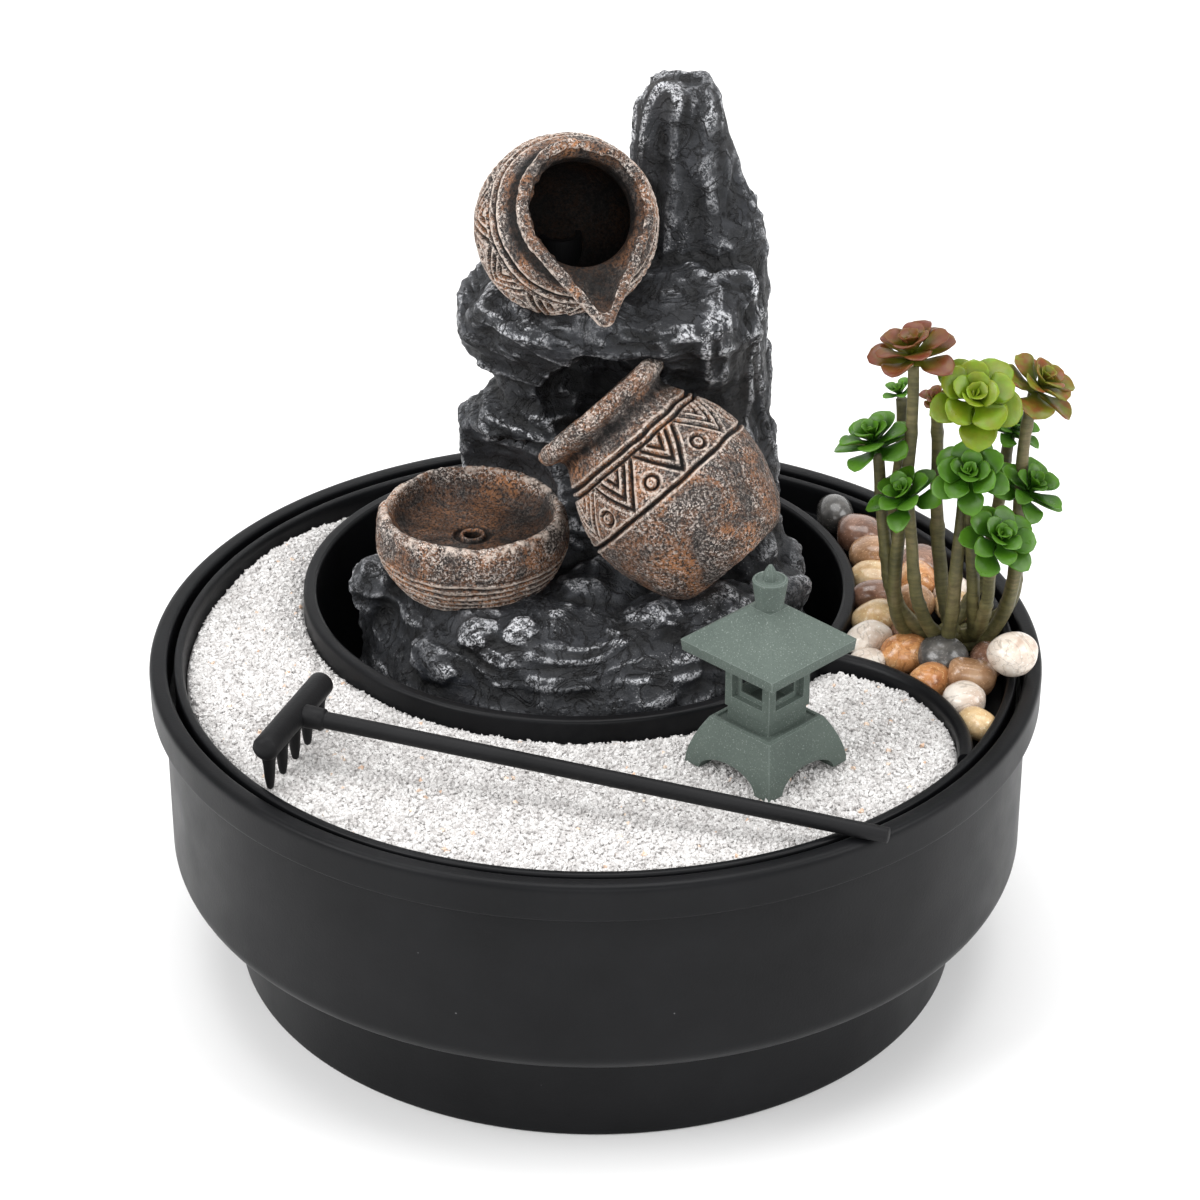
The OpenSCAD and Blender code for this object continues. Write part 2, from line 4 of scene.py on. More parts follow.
import bmesh
import bpy
import numpy as np
from mathutils import Euler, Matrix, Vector


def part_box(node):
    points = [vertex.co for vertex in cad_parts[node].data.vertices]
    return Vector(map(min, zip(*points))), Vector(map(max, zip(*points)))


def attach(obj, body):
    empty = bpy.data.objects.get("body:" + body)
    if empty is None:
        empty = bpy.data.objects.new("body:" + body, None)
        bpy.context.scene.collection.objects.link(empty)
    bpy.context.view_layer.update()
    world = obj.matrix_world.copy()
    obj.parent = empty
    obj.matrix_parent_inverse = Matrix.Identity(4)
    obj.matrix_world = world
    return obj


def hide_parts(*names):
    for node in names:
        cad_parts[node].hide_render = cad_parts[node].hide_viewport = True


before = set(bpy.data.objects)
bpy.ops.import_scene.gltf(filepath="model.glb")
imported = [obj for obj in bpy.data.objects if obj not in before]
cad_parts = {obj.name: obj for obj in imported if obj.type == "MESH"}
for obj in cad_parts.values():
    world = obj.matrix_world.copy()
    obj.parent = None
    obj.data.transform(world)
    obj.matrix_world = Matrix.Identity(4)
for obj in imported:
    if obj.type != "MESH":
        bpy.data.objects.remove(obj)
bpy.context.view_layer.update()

MM = 0.001


# ---------------------------------------------------------------- numbers

def top_of(node):
    """Height of a CAD node's highest point, in millimetres."""
    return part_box(node)[1][2] / MM


BOWL_TOP = top_of("outer_bowl")
TRAY_TOP = top_of("inner_tray")
SAND_TOP = top_of("sand_bed")


# ---------------------------------------------------------------- noise

def smooth_noise(points, seed):
    """Value noise between -1 and 1 at an array of points, one unit per cell."""
    table = np.random.default_rng(seed).random((32, 32, 32))
    cell = np.floor(points).astype(int)
    f = points - cell
    f = f * f * (3 - 2 * f)
    total = 0
    for dx in (0, 1):
        for dy in (0, 1):
            for dz in (0, 1):
                weight = (f[..., 0] if dx else 1 - f[..., 0]) \
                    * (f[..., 1] if dy else 1 - f[..., 1]) \
                    * (f[..., 2] if dz else 1 - f[..., 2])
                total = total + weight * table[(cell[..., 0] + dx) % 32,
                                               (cell[..., 1] + dy) % 32,
                                               (cell[..., 2] + dz) % 32]
    return 2 * total - 1


def layered_noise(points, seed, octaves=4):
    """Several octaves of smooth noise."""
    points = np.asarray(points, float)
    return sum(smooth_noise(points * 2 ** k + 7.3 * k, seed + k) * 0.5 ** k for k in range(octaves))


def ridge_noise(points, seed, octaves=3):
    """Noise with sharp crests, between about 0 and 1.5."""
    points = np.asarray(points, float)
    return sum((1 - np.abs(smooth_noise(points * 2 ** k + 3.1 * k, seed + k))) ** 2 * 0.5 ** k
               for k in range(octaves))


def smoothstep(low, high, x):
    t = np.clip((np.asarray(x, float) - low) / (high - low), 0, 1)
    return t * t * (3 - 2 * t)


# ---------------------------------------------------------------- meshes

def new_piece(name, verts, faces, body, material, slot, nodes=(), smooth=True, tone=None):
    """A mesh piece from points in millimetres. tone is an optional value per point for its shader."""
    mesh = bpy.data.meshes.new(name)
    mesh.from_pydata((np.asarray(verts, float) * MM).tolist(), [], [list(f) for f in faces])
    mesh.validate()
    if smooth:
        mesh.polygons.foreach_set("use_smooth", [True] * len(mesh.polygons))
    if tone is not None:
        layer = mesh.attributes.new("tone", "FLOAT", "POINT")
        layer.data.foreach_set("value", np.asarray(tone, np.float32))
    obj = bpy.data.objects.new(name, mesh)
    bpy.context.scene.collection.objects.link(obj)
    mesh.materials.append(material)
    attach(obj, body)
    if nodes:
        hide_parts(*nodes)
    return obj


def grid_faces(rows, cols, wrap=True, first=0):
    """Quads of a grid of points stored row by row."""
    out = []
    for k in range(rows - 1):
        a = first + k * cols
        for i in range(cols if wrap else cols - 1):
            j = (i + 1) % cols
            out.append((a + i, a + j, a + cols + j, a + cols + i))
    return out


def through(points, spacing):
    """A smooth curve through points (Catmull-Rom), with points about `spacing` apart."""
    p = np.asarray(points, float)
    ends = np.vstack([2 * p[0] - p[1], p, 2 * p[-1] - p[-2]])
    out = []
    for i in range(len(p) - 1):
        a, b, c, d = ends[i:i + 4]
        n = max(1, int(round(np.linalg.norm(c - b) / spacing)))
        for t in np.arange(n) / n:
            out.append(0.5 * (2 * b + (c - a) * t + (2 * a - 5 * b + 4 * c - d) * t * t
                              + (3 * b - a - 3 * c + d) * t ** 3))
    out.append(p[-1])
    return np.array(out)


def joined_path(*runs):
    """Runs of points put end to end, each run smooth in itself."""
    out = [runs[0]]
    for run in runs[1:]:
        out.append(run[1:] if np.allclose(run[0], out[-1][-1]) else run)
    return np.vstack(out)


def rounded(points, radius, steps=4):
    """An outline with its corners rounded off. A point may carry its own radius as a third number."""
    pts = [np.array(p[:2], float) for p in points]
    radii = [p[2] if len(p) > 2 else radius for p in points]
    out = [pts[0]]
    for i in range(1, len(pts) - 1):
        a, b, c = pts[i - 1], pts[i], pts[i + 1]
        u, v = a - b, c - b
        lu, lv = np.linalg.norm(u), np.linalg.norm(v)
        cut = min(radii[i], 0.45 * lu, 0.45 * lv)
        p, q = b + u / lu * cut, b + v / lv * cut
        for t in np.linspace(0, 1, steps + 1):
            out.append((1 - t) ** 2 * p + 2 * t * (1 - t) * b + t * t * q)
    out.append(pts[-1])
    return held(np.array(out))


def held(outline, near=0.7):
    """Adds points close to the ends of long straight runs, so that shading stays crisp at the corners."""
    out = [outline[0]]
    for a, b in zip(outline[:-1], outline[1:]):
        length = np.linalg.norm(b - a)
        if length > 3 * near:
            out += [a + (b - a) * near / length, b - (b - a) * near / length]
        out.append(b)
    return np.array(out)


def turned(profile, segments):
    """Points and faces of a closed body turned about Z, from a profile that starts and ends on the axis."""
    inner = profile[1:-1]
    angle = np.arange(segments) * 2 * math.pi / segments
    ring = np.stack([np.cos(angle), np.sin(angle)], 1)
    verts = np.concatenate([inner[:, None, 0:1] * ring[None], np.repeat(inner[:, None, 1:2], segments, 1)], 2)
    rows = len(inner)
    faces = grid_faces(rows, segments)
    points = np.vstack([verts.reshape(-1, 3), [0, 0, profile[0][1]], [0, 0, profile[-1][1]]])
    low, high = rows * segments, rows * segments + 1
    for i in range(segments):
        j = (i + 1) % segments
        faces.append((j, i, low))
        faces.append(((rows - 1) * segments + i, (rows - 1) * segments + j, high))
    return points, faces


def place(points, at, turn=(0, 0, 0)):
    """Points turned by Euler angles in degrees (X, then Y, then Z) and moved."""
    matrix = np.array(Euler([math.radians(a) for a in turn]).to_matrix())
    return points @ matrix.T + np.array(at, float)


# ---------------------------------------------------------------- materials

class Shader:
    """A node material under construction."""

    def __init__(self, name, roughness=0.5, **inputs):
        self.material = bpy.data.materials.new(name)
        self.material.use_nodes = True
        self.tree = self.material.node_tree
        self.bsdf = self.tree.nodes["Principled BSDF"]
        self.bsdf.inputs["Roughness"].default_value = roughness
        for key, value in inputs.items():
            self.bsdf.inputs[key.replace("_", " ")].default_value = value
        self.position = self.add("ShaderNodeTexCoord").outputs["Object"]

    def add(self, kind, **settings):
        node = self.tree.nodes.new(kind)
        for key, value in settings.items():
            setattr(node, key, value)
        return node

    def link(self, source, target):
        self.tree.links.new(source, target)

    def noise(self, scale, detail=4, roughness=0.55, distortion=0.0, stretch=None):
        """Noise; scale is in features per metre."""
        node = self.add("ShaderNodeTexNoise")
        node.inputs["Scale"].default_value = scale
        node.inputs["Detail"].default_value = detail
        node.inputs["Roughness"].default_value = roughness
        node.inputs["Distortion"].default_value = distortion
        self.link(self.stretched(stretch), node.inputs["Vector"])
        return node.outputs["Fac"]

    def cells(self, scale, feature="F1", output="Distance", stretch=None):
        node = self.add("ShaderNodeTexVoronoi", feature=feature)
        node.inputs["Scale"].default_value = scale
        self.link(self.stretched(stretch), node.inputs["Vector"])
        return node.outputs[output]

    def stretched(self, stretch):
        if stretch is None:
            return self.position
        node = self.add("ShaderNodeMapping")
        node.inputs["Scale"].default_value = stretch
        self.link(self.position, node.inputs["Vector"])
        return node.outputs["Vector"]

    def attribute(self, name):
        return self.add("ShaderNodeAttribute", attribute_name=name).outputs["Fac"]

    def ramp(self, source, *stops):
        """A colour ramp; each stop is (place, colour or grey level)."""
        node = self.add("ShaderNodeValToRGB")
        elements = node.color_ramp.elements
        while len(elements) < len(stops):
            elements.new(0.5)
        for element, (where, value) in zip(elements, stops):
            element.position = where
            element.color = (*value, 1) if hasattr(value, "__len__") else (value, value, value, 1)
        self.link(source, node.inputs["Fac"])
        return node.outputs["Color"]

    def math(self, operation, a, b=None):
        node = self.add("ShaderNodeMath", operation=operation, use_clamp=False)
        for socket, value in zip(node.inputs, (a, b)):
            if value is None:
                continue
            if isinstance(value, (int, float)):
                socket.default_value = value
            else:
                self.link(value, socket)
        return node.outputs[0]

    def mix(self, factor, a, b, blend="MIX"):
        node = self.add("ShaderNodeMix", data_type="RGBA", blend_type=blend)
        for index, value in ((0, factor), (6, a), (7, b)):
            socket = node.inputs[index]
            if isinstance(value, (int, float)):
                socket.default_value = value
            elif isinstance(value, tuple):
                socket.default_value = (*value, 1)
            else:
                self.link(value, socket)
        return node.outputs[2]

    def bump(self, height, strength, distance, below=None):
        node = self.add("ShaderNodeBump")
        node.inputs["Strength"].default_value = strength
        node.inputs["Distance"].default_value = distance
        self.link(height, node.inputs["Height"])
        if below is not None:
            self.link(below, node.inputs["Normal"])
        return node.outputs["Normal"]

    def finish(self, color=None, roughness=None, normal=None):
        for name, value in (("Base Color", color), ("Roughness", roughness), ("Normal", normal)):
            if value is not None:
                self.link(value, self.bsdf.inputs[name])
        return self.material


def moulded_plastic(name, color, roughness, dust=0.35, grain=0.25):
    """Satin moulded plastic: slight mottling, fine grain and a few pale dust specks."""
    s = Shader(name, Specular_IOR_Level=0.13)
    cloud = s.noise(28, 3)
    dark = tuple(c * 0.78 for c in color)
    light = tuple(min(1, c * 1.25 + 0.002) for c in color)
    base = s.ramp(cloud, (0.3, dark), (0.7, light))
    specks = s.ramp(s.cells(240, stretch=(1, 1, 1)), (0.035, 1.0), (0.06, 0.0))
    chosen = s.ramp(s.noise(90, 1), (0.66, 0.0), (0.7, dust))
    base = s.mix(s.math("MULTIPLY", specks, chosen), base, (0.32, 0.32, 0.33))
    rough = s.ramp(s.noise(60, 4), (0.25, roughness - 0.05), (0.75, roughness + 0.07))
    normal = s.bump(s.noise(1500, 2), grain, 0.00012)
    return s.finish(base, rough, normal)


def sand_material():
    s = Shader("white_sand", 0.75, Specular_IOR_Level=0.35, Subsurface_Weight=0.0)
    tint = s.ramp(s.cells(620, output="Color"), (0.0, (0.54, 0.52, 0.51)), (0.5, (0.70, 0.685, 0.675)),
                  (1.0, (0.83, 0.82, 0.81)))
    fine = s.ramp(s.noise(2600, 3), (0.3, (0.80, 0.80, 0.80)), (0.7, (1.0, 1.0, 1.0)))
    return s.finish(s.mix(1.0, tint, fine, "MULTIPLY"), None, s.bump(s.noise(3200, 3), 0.5, 0.0002))


def tan_grain_material():
    s = Shader("tan_grains", 0.6)
    tint = s.ramp(s.cells(500, output="Color"), (0.2, (0.62, 0.42, 0.30)), (0.8, (0.80, 0.66, 0.54)))
    return s.finish(tint, None, s.bump(s.noise(3000, 3), 0.4, 0.0002))


def rock_material():
    """Charcoal cast rock: pale paint dry-brushed on what stands proud, and painted shade that darkens the
    hollows.
    """
    s = Shader("charcoal_rock", 0.62, Specular_IOR_Level=0.38)
    stone = s.ramp(s.noise(110, 5, 0.62), (0.28, (0.006, 0.0065, 0.0075)), (0.55, (0.017, 0.0185, 0.022)),
                   (0.8, (0.040, 0.043, 0.050)))
    warm = s.ramp(s.noise(22, 3), (0.60, 0.0), (0.74, 0.5))
    stone = s.mix(warm, stone, (0.040, 0.030, 0.022))
    blue = s.ramp(s.noise(26, 2, stretch=(1, 1, 1.6)), (0.60, 0.0), (0.72, 0.45))
    stone = s.mix(blue, stone, (0.017, 0.023, 0.038))
    tone = s.attribute("tone")
    veil = s.math("MULTIPLY", s.ramp(tone, (0.52, 0.0), (0.80, 1.0)),
                  s.ramp(s.noise(700, 4, 0.7), (0.40, 0.1), (0.62, 0.75)))
    stone = s.mix(veil, stone, (0.046, 0.049, 0.056))
    region = s.ramp(s.noise(62, 3), (0.42, 0.15), (0.62, 1.0))
    proud = s.math("MULTIPLY", s.ramp(tone, (0.70, 0.0), (0.88, 1.0)), region)
    streak = s.ramp(s.noise(1000, 5, 0.85, 0.6), (0.495, 0.0), (0.53, 1.0))
    brushed = s.math("MULTIPLY", proud, s.math("MULTIPLY", streak, 0.95))
    scatter = s.ramp(s.noise(1700, 3, 0.8), (0.60, 0.0), (0.66, 0.55))
    scatter = s.math("MULTIPLY", s.math("MULTIPLY", scatter, region), s.ramp(tone, (0.42, 0.0), (0.66, 1.0)))
    crack = s.ramp(s.noise(95, 5, 0.55, 1.6), (0.475, 0.0), (0.497, 1.0), (0.503, 1.0), (0.525, 0.0))
    stone = s.mix(s.math("MULTIPLY", crack, 0.85), stone, (0.003, 0.003, 0.004))
    brushed = s.math("MULTIPLY", s.math("MAXIMUM", brushed, scatter), s.math("SUBTRACT", 1.0, crack))
    color = s.mix(brushed, stone, (0.72, 0.73, 0.76))
    # painted shade: the colour darkens where the tone is low, in the hollows
    hollow = s.ramp(tone, (0.12, 0.35), (0.45, 1.0))
    color = s.mix(1.0, color, hollow, "MULTIPLY")
    rough = s.ramp(s.noise(300, 4), (0.3, 0.36), (0.7, 0.72))
    split = s.bump(s.math("SUBTRACT", 1.0, crack), 0.8, 0.0009)
    coarse = s.bump(s.noise(520, 6, 0.70, 0.4), 0.75, 0.0011, split)
    return s.finish(color, rough, s.bump(s.noise(2400, 3), 0.35, 0.0003, coarse))


def pottery_material():
    """Sandy orange-brown ware, washed with charcoal in its pits and dry-brushed with off-white; painted shade
    darkens it where the tone is low.
    """
    s = Shader("speckled_pottery", 0.66, Specular_IOR_Level=0.25)
    tone = s.attribute("tone")
    clay = s.ramp(s.noise(85, 5, 0.6), (0.30, (0.075, 0.042, 0.028)), (0.50, (0.22, 0.098, 0.046)),
                  (0.74, (0.42, 0.175, 0.062)))
    wash = s.ramp(s.noise(75, 5, 0.7, 0.6), (0.44, 0.0), (0.58, 0.90))
    clay = s.mix(wash, clay, (0.040, 0.037, 0.036))
    pits = s.ramp(s.noise(1250, 4, 0.75, 0.3), (0.46, 1.0), (0.505, 0.0))
    clay = s.mix(s.math("MULTIPLY", pits, 0.93), clay, (0.010, 0.010, 0.011))
    grains = s.ramp(s.noise(1550, 4, 0.8, 0.5), (0.53, 0.0), (0.565, 1.0))
    patches = s.ramp(s.noise(90, 4, 0.6), (0.36, 0.30), (0.58, 1.0))
    proud = s.ramp(tone, (0.36, 0.20), (0.74, 1.0))
    pale = s.math("MULTIPLY", s.math("MULTIPLY", grains, patches), proud)
    worn = s.math("MULTIPLY", s.ramp(tone, (0.80, 0.0), (0.97, 1.0)),
                  s.ramp(s.noise(900, 3, 0.7), (0.40, 0.10), (0.55, 0.80)))
    color = s.mix(s.math("MULTIPLY", pale, 0.92), clay, (0.74, 0.66, 0.60))
    color = s.mix(worn, color, (0.62, 0.52, 0.45))
    # painted shade: the colour darkens where the tone is low, as inside the pots, under their lips and in the
    # drain well
    hollow = s.ramp(tone, (0.10, 0.10), (0.42, 1.0))
    color = s.mix(1.0, color, hollow, "MULTIPLY")
    coarse = s.bump(s.noise(760, 5, 0.7), 0.75, 0.0008)
    return s.finish(color, s.ramp(s.noise(500, 3), (0.3, 0.5), (0.7, 0.8)),
                    s.bump(s.noise(2600, 3), 0.4, 0.0002, coarse))


def lantern_material():
    s = Shader("grey_green_stone", 0.62, Specular_IOR_Level=0.2)
    base = s.ramp(s.noise(60, 4), (0.3, (0.076, 0.097, 0.085)), (0.7, (0.095, 0.119, 0.104)))
    fleck = s.ramp(s.noise(2300, 2, 0.7), (0.60, 0.0), (0.68, 0.5))
    base = s.mix(fleck, base, (0.30, 0.34, 0.31))
    dark = s.ramp(s.noise(1900, 2, 0.7), (0.34, 0.5), (0.40, 0.0))
    base = s.mix(dark, base, (0.055, 0.075, 0.064))
    edge = s.ramp(s.attribute("tone"), (0.45, 0.0), (0.95, 0.55))
    base = s.mix(edge, base, (0.33, 0.38, 0.35))
    return s.finish(base, None, s.bump(s.noise(2200, 3), 0.3, 0.00015))


def stem_material():
    s = Shader("ribbed_stem", 0.55)
    base = s.ramp(s.noise(160, 4, 0.6, stretch=(1, 1, 0.5)), (0.3, (0.060, 0.058, 0.020)),
                  (0.55, (0.125, 0.112, 0.040)), (0.8, (0.20, 0.15, 0.075)))
    rings = s.ramp(s.noise(700, 3, stretch=(0.3, 0.3, 1.6)), (0.40, 0.65), (0.60, 1.0))
    return s.finish(s.mix(1.0, base, rings, "MULTIPLY"), None, s.bump(s.noise(900, 4), 0.5, 0.0004))


def leaf_material(name, heart, rim, rim_at, mottle=0.0, red=(0.30, 0.035, 0.02)):
    """A soft glossy leaf: heart colour to rim colour, by the leaf's own tone from foot (0) to tip (1)."""
    s = Shader(name, 0.34, Specular_IOR_Level=0.32, Subsurface_Weight=0.12, Subsurface_Scale=0.002,
               Subsurface_Radius=(0.6, 1.0, 0.3))
    along = s.attribute("tone")
    color = s.ramp(along, (0.0, tuple(c * 0.55 for c in heart)), (rim_at * 0.6, heart), (rim_at + 0.2, rim))
    if mottle:
        patch = s.ramp(s.noise(260, 4, 0.62), (0.42, 0.0), (0.60, mottle))
        patch = s.math("MULTIPLY", patch, s.ramp(along, (0.2, 0.1), (0.75, 1.0)))
        color = s.mix(patch, color, red)
    vein = s.ramp(s.noise(420, 3), (0.3, 0.84), (0.7, 1.08))
    return s.finish(s.mix(1.0, color, vein, "MULTIPLY"), s.ramp(s.noise(300, 3), (0.3, 0.26), (0.7, 0.46)),
                    s.bump(s.noise(700, 3), 0.22, 0.0003))


def pebble_material(name, dark, mid, light, veined=0.0, roughness=0.22):
    s = Shader(name, roughness, Specular_IOR_Level=0.5, Coat_Weight=0.25, Coat_Roughness=0.1)
    base = s.ramp(s.noise(130, 6, 0.62, 0.5), (0.30, dark), (0.52, mid), (0.74, light))
    fleck = s.ramp(s.noise(1300, 3, 0.7), (0.58, 0.0), (0.66, 0.45))
    base = s.mix(fleck, base, tuple(min(1, c * 1.6 + 0.03) for c in light))
    if veined:
        vein = s.ramp(s.noise(90, 4, 0.5, 2.5), (0.47, 0.0), (0.50, veined), (0.53, 0.0))
        base = s.mix(vein, base, tuple(c * 0.4 for c in dark))
    return s.finish(base, None, s.bump(s.noise(500, 4), 0.12, 0.0003))


def smooth_material(name, color, roughness, **inputs):
    """A plain moulded or machined part out of sight: faint mottling and fine grain."""
    s = Shader(name, roughness, **inputs)
    darker = tuple(c * 0.82 for c in color)
    lighter = tuple(min(1, c * 1.15) for c in color)
    base = s.ramp(s.noise(120, 3), (0.3, darker), (0.7, lighter))
    return s.finish(base, None, s.bump(s.noise(1600, 2), 0.2, 0.0001))


BOWL_PLASTIC = moulded_plastic("black_bowl_plastic", (0.0040, 0.0042, 0.0050), 0.40)
TRAY_PLASTIC = moulded_plastic("black_tray_plastic", (0.0048, 0.0050, 0.0058), 0.36, 0.25)
RAKE_PLASTIC = moulded_plastic("charcoal_rake_plastic", (0.0085, 0.0085, 0.0092), 0.48, 0.1, 0.5)
PUMP_PLASTIC = moulded_plastic("black_pump_plastic", (0.016, 0.017, 0.020), 0.45, 0.0)
SAND = sand_material()
TAN_GRAINS = tan_grain_material()
ROCK = rock_material()
POTTERY = pottery_material()
LANTERN = lantern_material()
STEM = stem_material()
LEAVES = {
    "green": leaf_material("green_leaf", (0.022, 0.085, 0.004), (0.070, 0.180, 0.010), 0.7),
    "lime": leaf_material("lime_leaf", (0.090, 0.165, 0.004), (0.165, 0.250, 0.010), 0.7, 0.25,
                          (0.19, 0.08, 0.01)),
    "red": leaf_material("red_leaf", (0.120, 0.140, 0.010), (0.130, 0.050, 0.012), 0.50, 0.80,
                         (0.120, 0.022, 0.012)),
    "turning": leaf_material("turning_leaf", (0.100, 0.130, 0.012), (0.150, 0.150, 0.014), 0.6, 0.9,
                             (0.185, 0.038, 0.012)),
}
LEAF_SLOTS = {"green": "leaf_green", "lime": "leaf_lime", "red": "leaf_red", "turning": "leaf_red"}

CARRIED = {
    "base_pads": smooth_material("black_rubber_pads", (0.018, 0.018, 0.018), 0.8),
    "cord_grommet": smooth_material("black_rubber_grommet", (0.016, 0.016, 0.017), 0.7),
    "pump_housing": PUMP_PLASTIC, "pump_cover": PUMP_PLASTIC, "flow_dial": PUMP_PLASTIC,
    "pump_suction_cups": smooth_material("clear_vinyl_cups", (0.70, 0.74, 0.76), 0.2,
                                         Transmission_Weight=0.6),
    "pump_cord_gland": smooth_material("black_gland_rubber", (0.016, 0.016, 0.017), 0.7),
    "stator_core": smooth_material("varnished_core", (0.17, 0.11, 0.06), 0.4, Metallic=0.6),
    "impeller_shaft": smooth_material("ground_ceramic", (0.80, 0.79, 0.75), 0.25),
    "impeller": smooth_material("grey_impeller_plastic", (0.55, 0.58, 0.60), 0.4),
    "rotor_magnet": smooth_material("ferrite_magnet", (0.05, 0.05, 0.055), 0.55),
    "water_tube": smooth_material("black_vinyl_tube", (0.012, 0.012, 0.013), 0.4),
}
for carried, material in CARRIED.items():
    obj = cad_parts[carried]
    obj.data.materials.clear()
    obj.data.materials.append(material)


# ---------------------------------------------------------------- stage, camera, lights

def build_stage():
    """A pale floor that curves up behind, so that no horizon shows."""
    profile = [(-6, 0), (0.9, 0)] + [(0.9 + 0.8 * math.sin(a), 0.8 - 0.8 * math.cos(a))
                                       for a in np.linspace(0, math.pi / 2, 16)] + [(1.7, 2.4)]
    verts = [(x, y, z) for y, z in profile for x in (-6, 6)]
    faces = [(2 * i, 2 * i + 1, 2 * i + 3, 2 * i + 2) for i in range(len(profile) - 1)]
    mesh = bpy.data.meshes.new("pale_floor")
    mesh.from_pydata(verts, [], faces)
    floor = bpy.data.objects.new("pale_floor", mesh)
    bpy.context.scene.collection.objects.link(floor)
    s = Shader("pale_paper", 0.85)
    s.finish(s.ramp(s.noise(3, 2), (0.3, (0.86, 0.86, 0.86)), (0.7, (0.89, 0.89, 0.89))))
    mesh.materials.append(s.material)


def build_camera():
    """The photograph's view: 29.3 degrees down from straight in front, 0.94 m away."""
    elevation = math.radians(29.29)
    distance = 0.9425
    target = Vector((0.00112, 0, 0.09867))
    camera = bpy.data.cameras.new("camera")
    camera.lens = 109.96
    camera.sensor_width = 36
    obj = bpy.data.objects.new("camera", camera)
    obj.location = target + distance * Vector((0, -math.cos(elevation), math.sin(elevation)))
    obj.rotation_euler = (math.pi / 2 - elevation, 0, 0)
    bpy.context.scene.collection.objects.link(obj)
    bpy.context.scene.camera = obj


def add_softbox(name, place_at, size, power, aim=(0, 0, 0.08)):
    light = bpy.data.lights.new(name, "AREA")
    light.shape = "RECTANGLE"
    light.size, light.size_y = size
    light.energy = power
    obj = bpy.data.objects.new(name, light)
    obj.location = place_at
    obj.rotation_euler = (Vector(aim) - Vector(place_at)).to_track_quat("-Z", "Y").to_euler()
    bpy.context.scene.collection.objects.link(obj)


def build_lights():
    add_softbox("softbox_left", (-1.1, -0.55, 1.0), (0.8, 1.1), 17)
    add_softbox("softbox_right", (1.15, -0.35, 0.9), (0.7, 1.0), 11)
    add_softbox("softbox_above", (0.0, 0.25, 1.5), (1.3, 1.0), 16)
    add_softbox("softbox_front", (0.1, -1.5, 0.75), (1.2, 0.7), 7)
    world = bpy.data.worlds.new("studio")
    world.use_nodes = True
    world.node_tree.nodes["Background"].inputs["Color"].default_value = (1, 1, 1, 1)
    world.node_tree.nodes["Background"].inputs["Strength"].default_value = 0.55
    bpy.context.scene.world = world
    bpy.context.scene.view_settings.view_transform = "Standard"


build_stage()
build_camera()
build_lights()


# ---------------------------------------------------------------- bowl and tray

SEGMENTS = 256


def build_bowl():
    """The turned bowl: rounded lip, tall wall, step and foot, and the same hollow inside."""
    top = BOWL_TOP
    outline = rounded([
        (0, 0), (95.3, 0, 1.0), (97.0, 29.2, 0.8), (98.4, 30.3, 0.6), (109.6, 31.0, 3.2), (111.5, 34.0, 2.6),
        (111.5, 77.1, 0.5), (114.9, 77.1, 0.5), (115, top, 1.9), (110.4, top, 1.1), (110.4, 76, 0.4),
        (106.2, 76, 0.4), (106.2, 73, 0.4), (109.1, 73, 0.4), (109.1, 33, 1.5), (94.6, 33, 1.0), (93.6, 3, 2),
        (0, 3)], 1.0, 5)
    points, faces = turned(outline, SEGMENTS)
    new_piece("bowl_shell", points, faces, "bowl", BOWL_PLASTIC, "bowl_plastic", ["outer_bowl"])


POOL = np.array([-4.3, 34.0])
POOL_R = 73.6
DIVIDER = np.array([46.4, -47.7])
DIVIDER_R = 45.2


def wall_strip(centre_line, half_width, z_low, z_high, closed):
    """A wall with a rounded top that follows a line on the plan."""
    line = np.asarray(centre_line, float)
    ahead = np.roll(line, -1, 0) - np.roll(line, 1, 0)
    if not closed:
        ahead[0], ahead[-1] = line[1] - line[0], line[-1] - line[-2]
    ahead /= np.linalg.norm(ahead, axis=1)[:, None]
    side = np.stack([ahead[:, 1], -ahead[:, 0]], 1)
    section = [(-1, z_low)] + [(-math.cos(a), z_high - half_width * 0.9 * (1 - math.sin(a)))
                               for a in np.linspace(0, math.pi, 9)] + [(1, z_low)]
    rows = [np.column_stack([line + side * w * half_width, np.full(len(line), z)]) for w, z in section]
    verts = np.stack(rows, 1).reshape(-1, 3)
    faces = []
    n, m = len(line), len(section)
    for i in range(n if closed else n - 1):
        j = (i + 1) % n
        for k in range(m):
            q = (k + 1) % m
            faces.append((i * m + k, i * m + q, j * m + q, j * m + k))
    if not closed:
        faces.append(tuple(range(m - 1, -1, -1)))
        faces.append(tuple((n - 1) * m + k for k in range(m)))
    return verts, faces


def arc(centre, radius, start, end, count):
    a = np.radians(np.linspace(start, end, count))
    return np.stack([centre[0] + radius * np.cos(a), centre[1] + radius * np.sin(a)], 1)


def capped_grid(rows, sides):
    """Faces of a closed grid of rings with flat ends."""
    return grid_faces(rows, sides) + [tuple(range(sides - 1, -1, -1)),
                                      tuple(range((rows - 1) * sides, rows * sides))]


def join_parts(*parts):
    """Several parts as one list of points and faces."""
    verts, faces, first = [], [], 0
    for v, f in parts:
        verts.append(np.asarray(v, float))
        faces += [tuple(i + first for i in face) for face in f]
        first += len(v)
    return np.vstack(verts), faces


def raw_object(points, faces):
    """A bare object for a boolean."""
    mesh = bpy.data.meshes.new("raw")
    mesh.from_pydata(np.asarray(points, float).tolist(), [], [list(f) for f in faces])
    obj = bpy.data.objects.new("raw", mesh)
    bpy.context.scene.collection.objects.link(obj)
    return obj


def discard(obj):
    """Removes a scratch object and its mesh."""
    data = obj.data
    bpy.data.objects.remove(obj)
    bpy.data.meshes.remove(data)


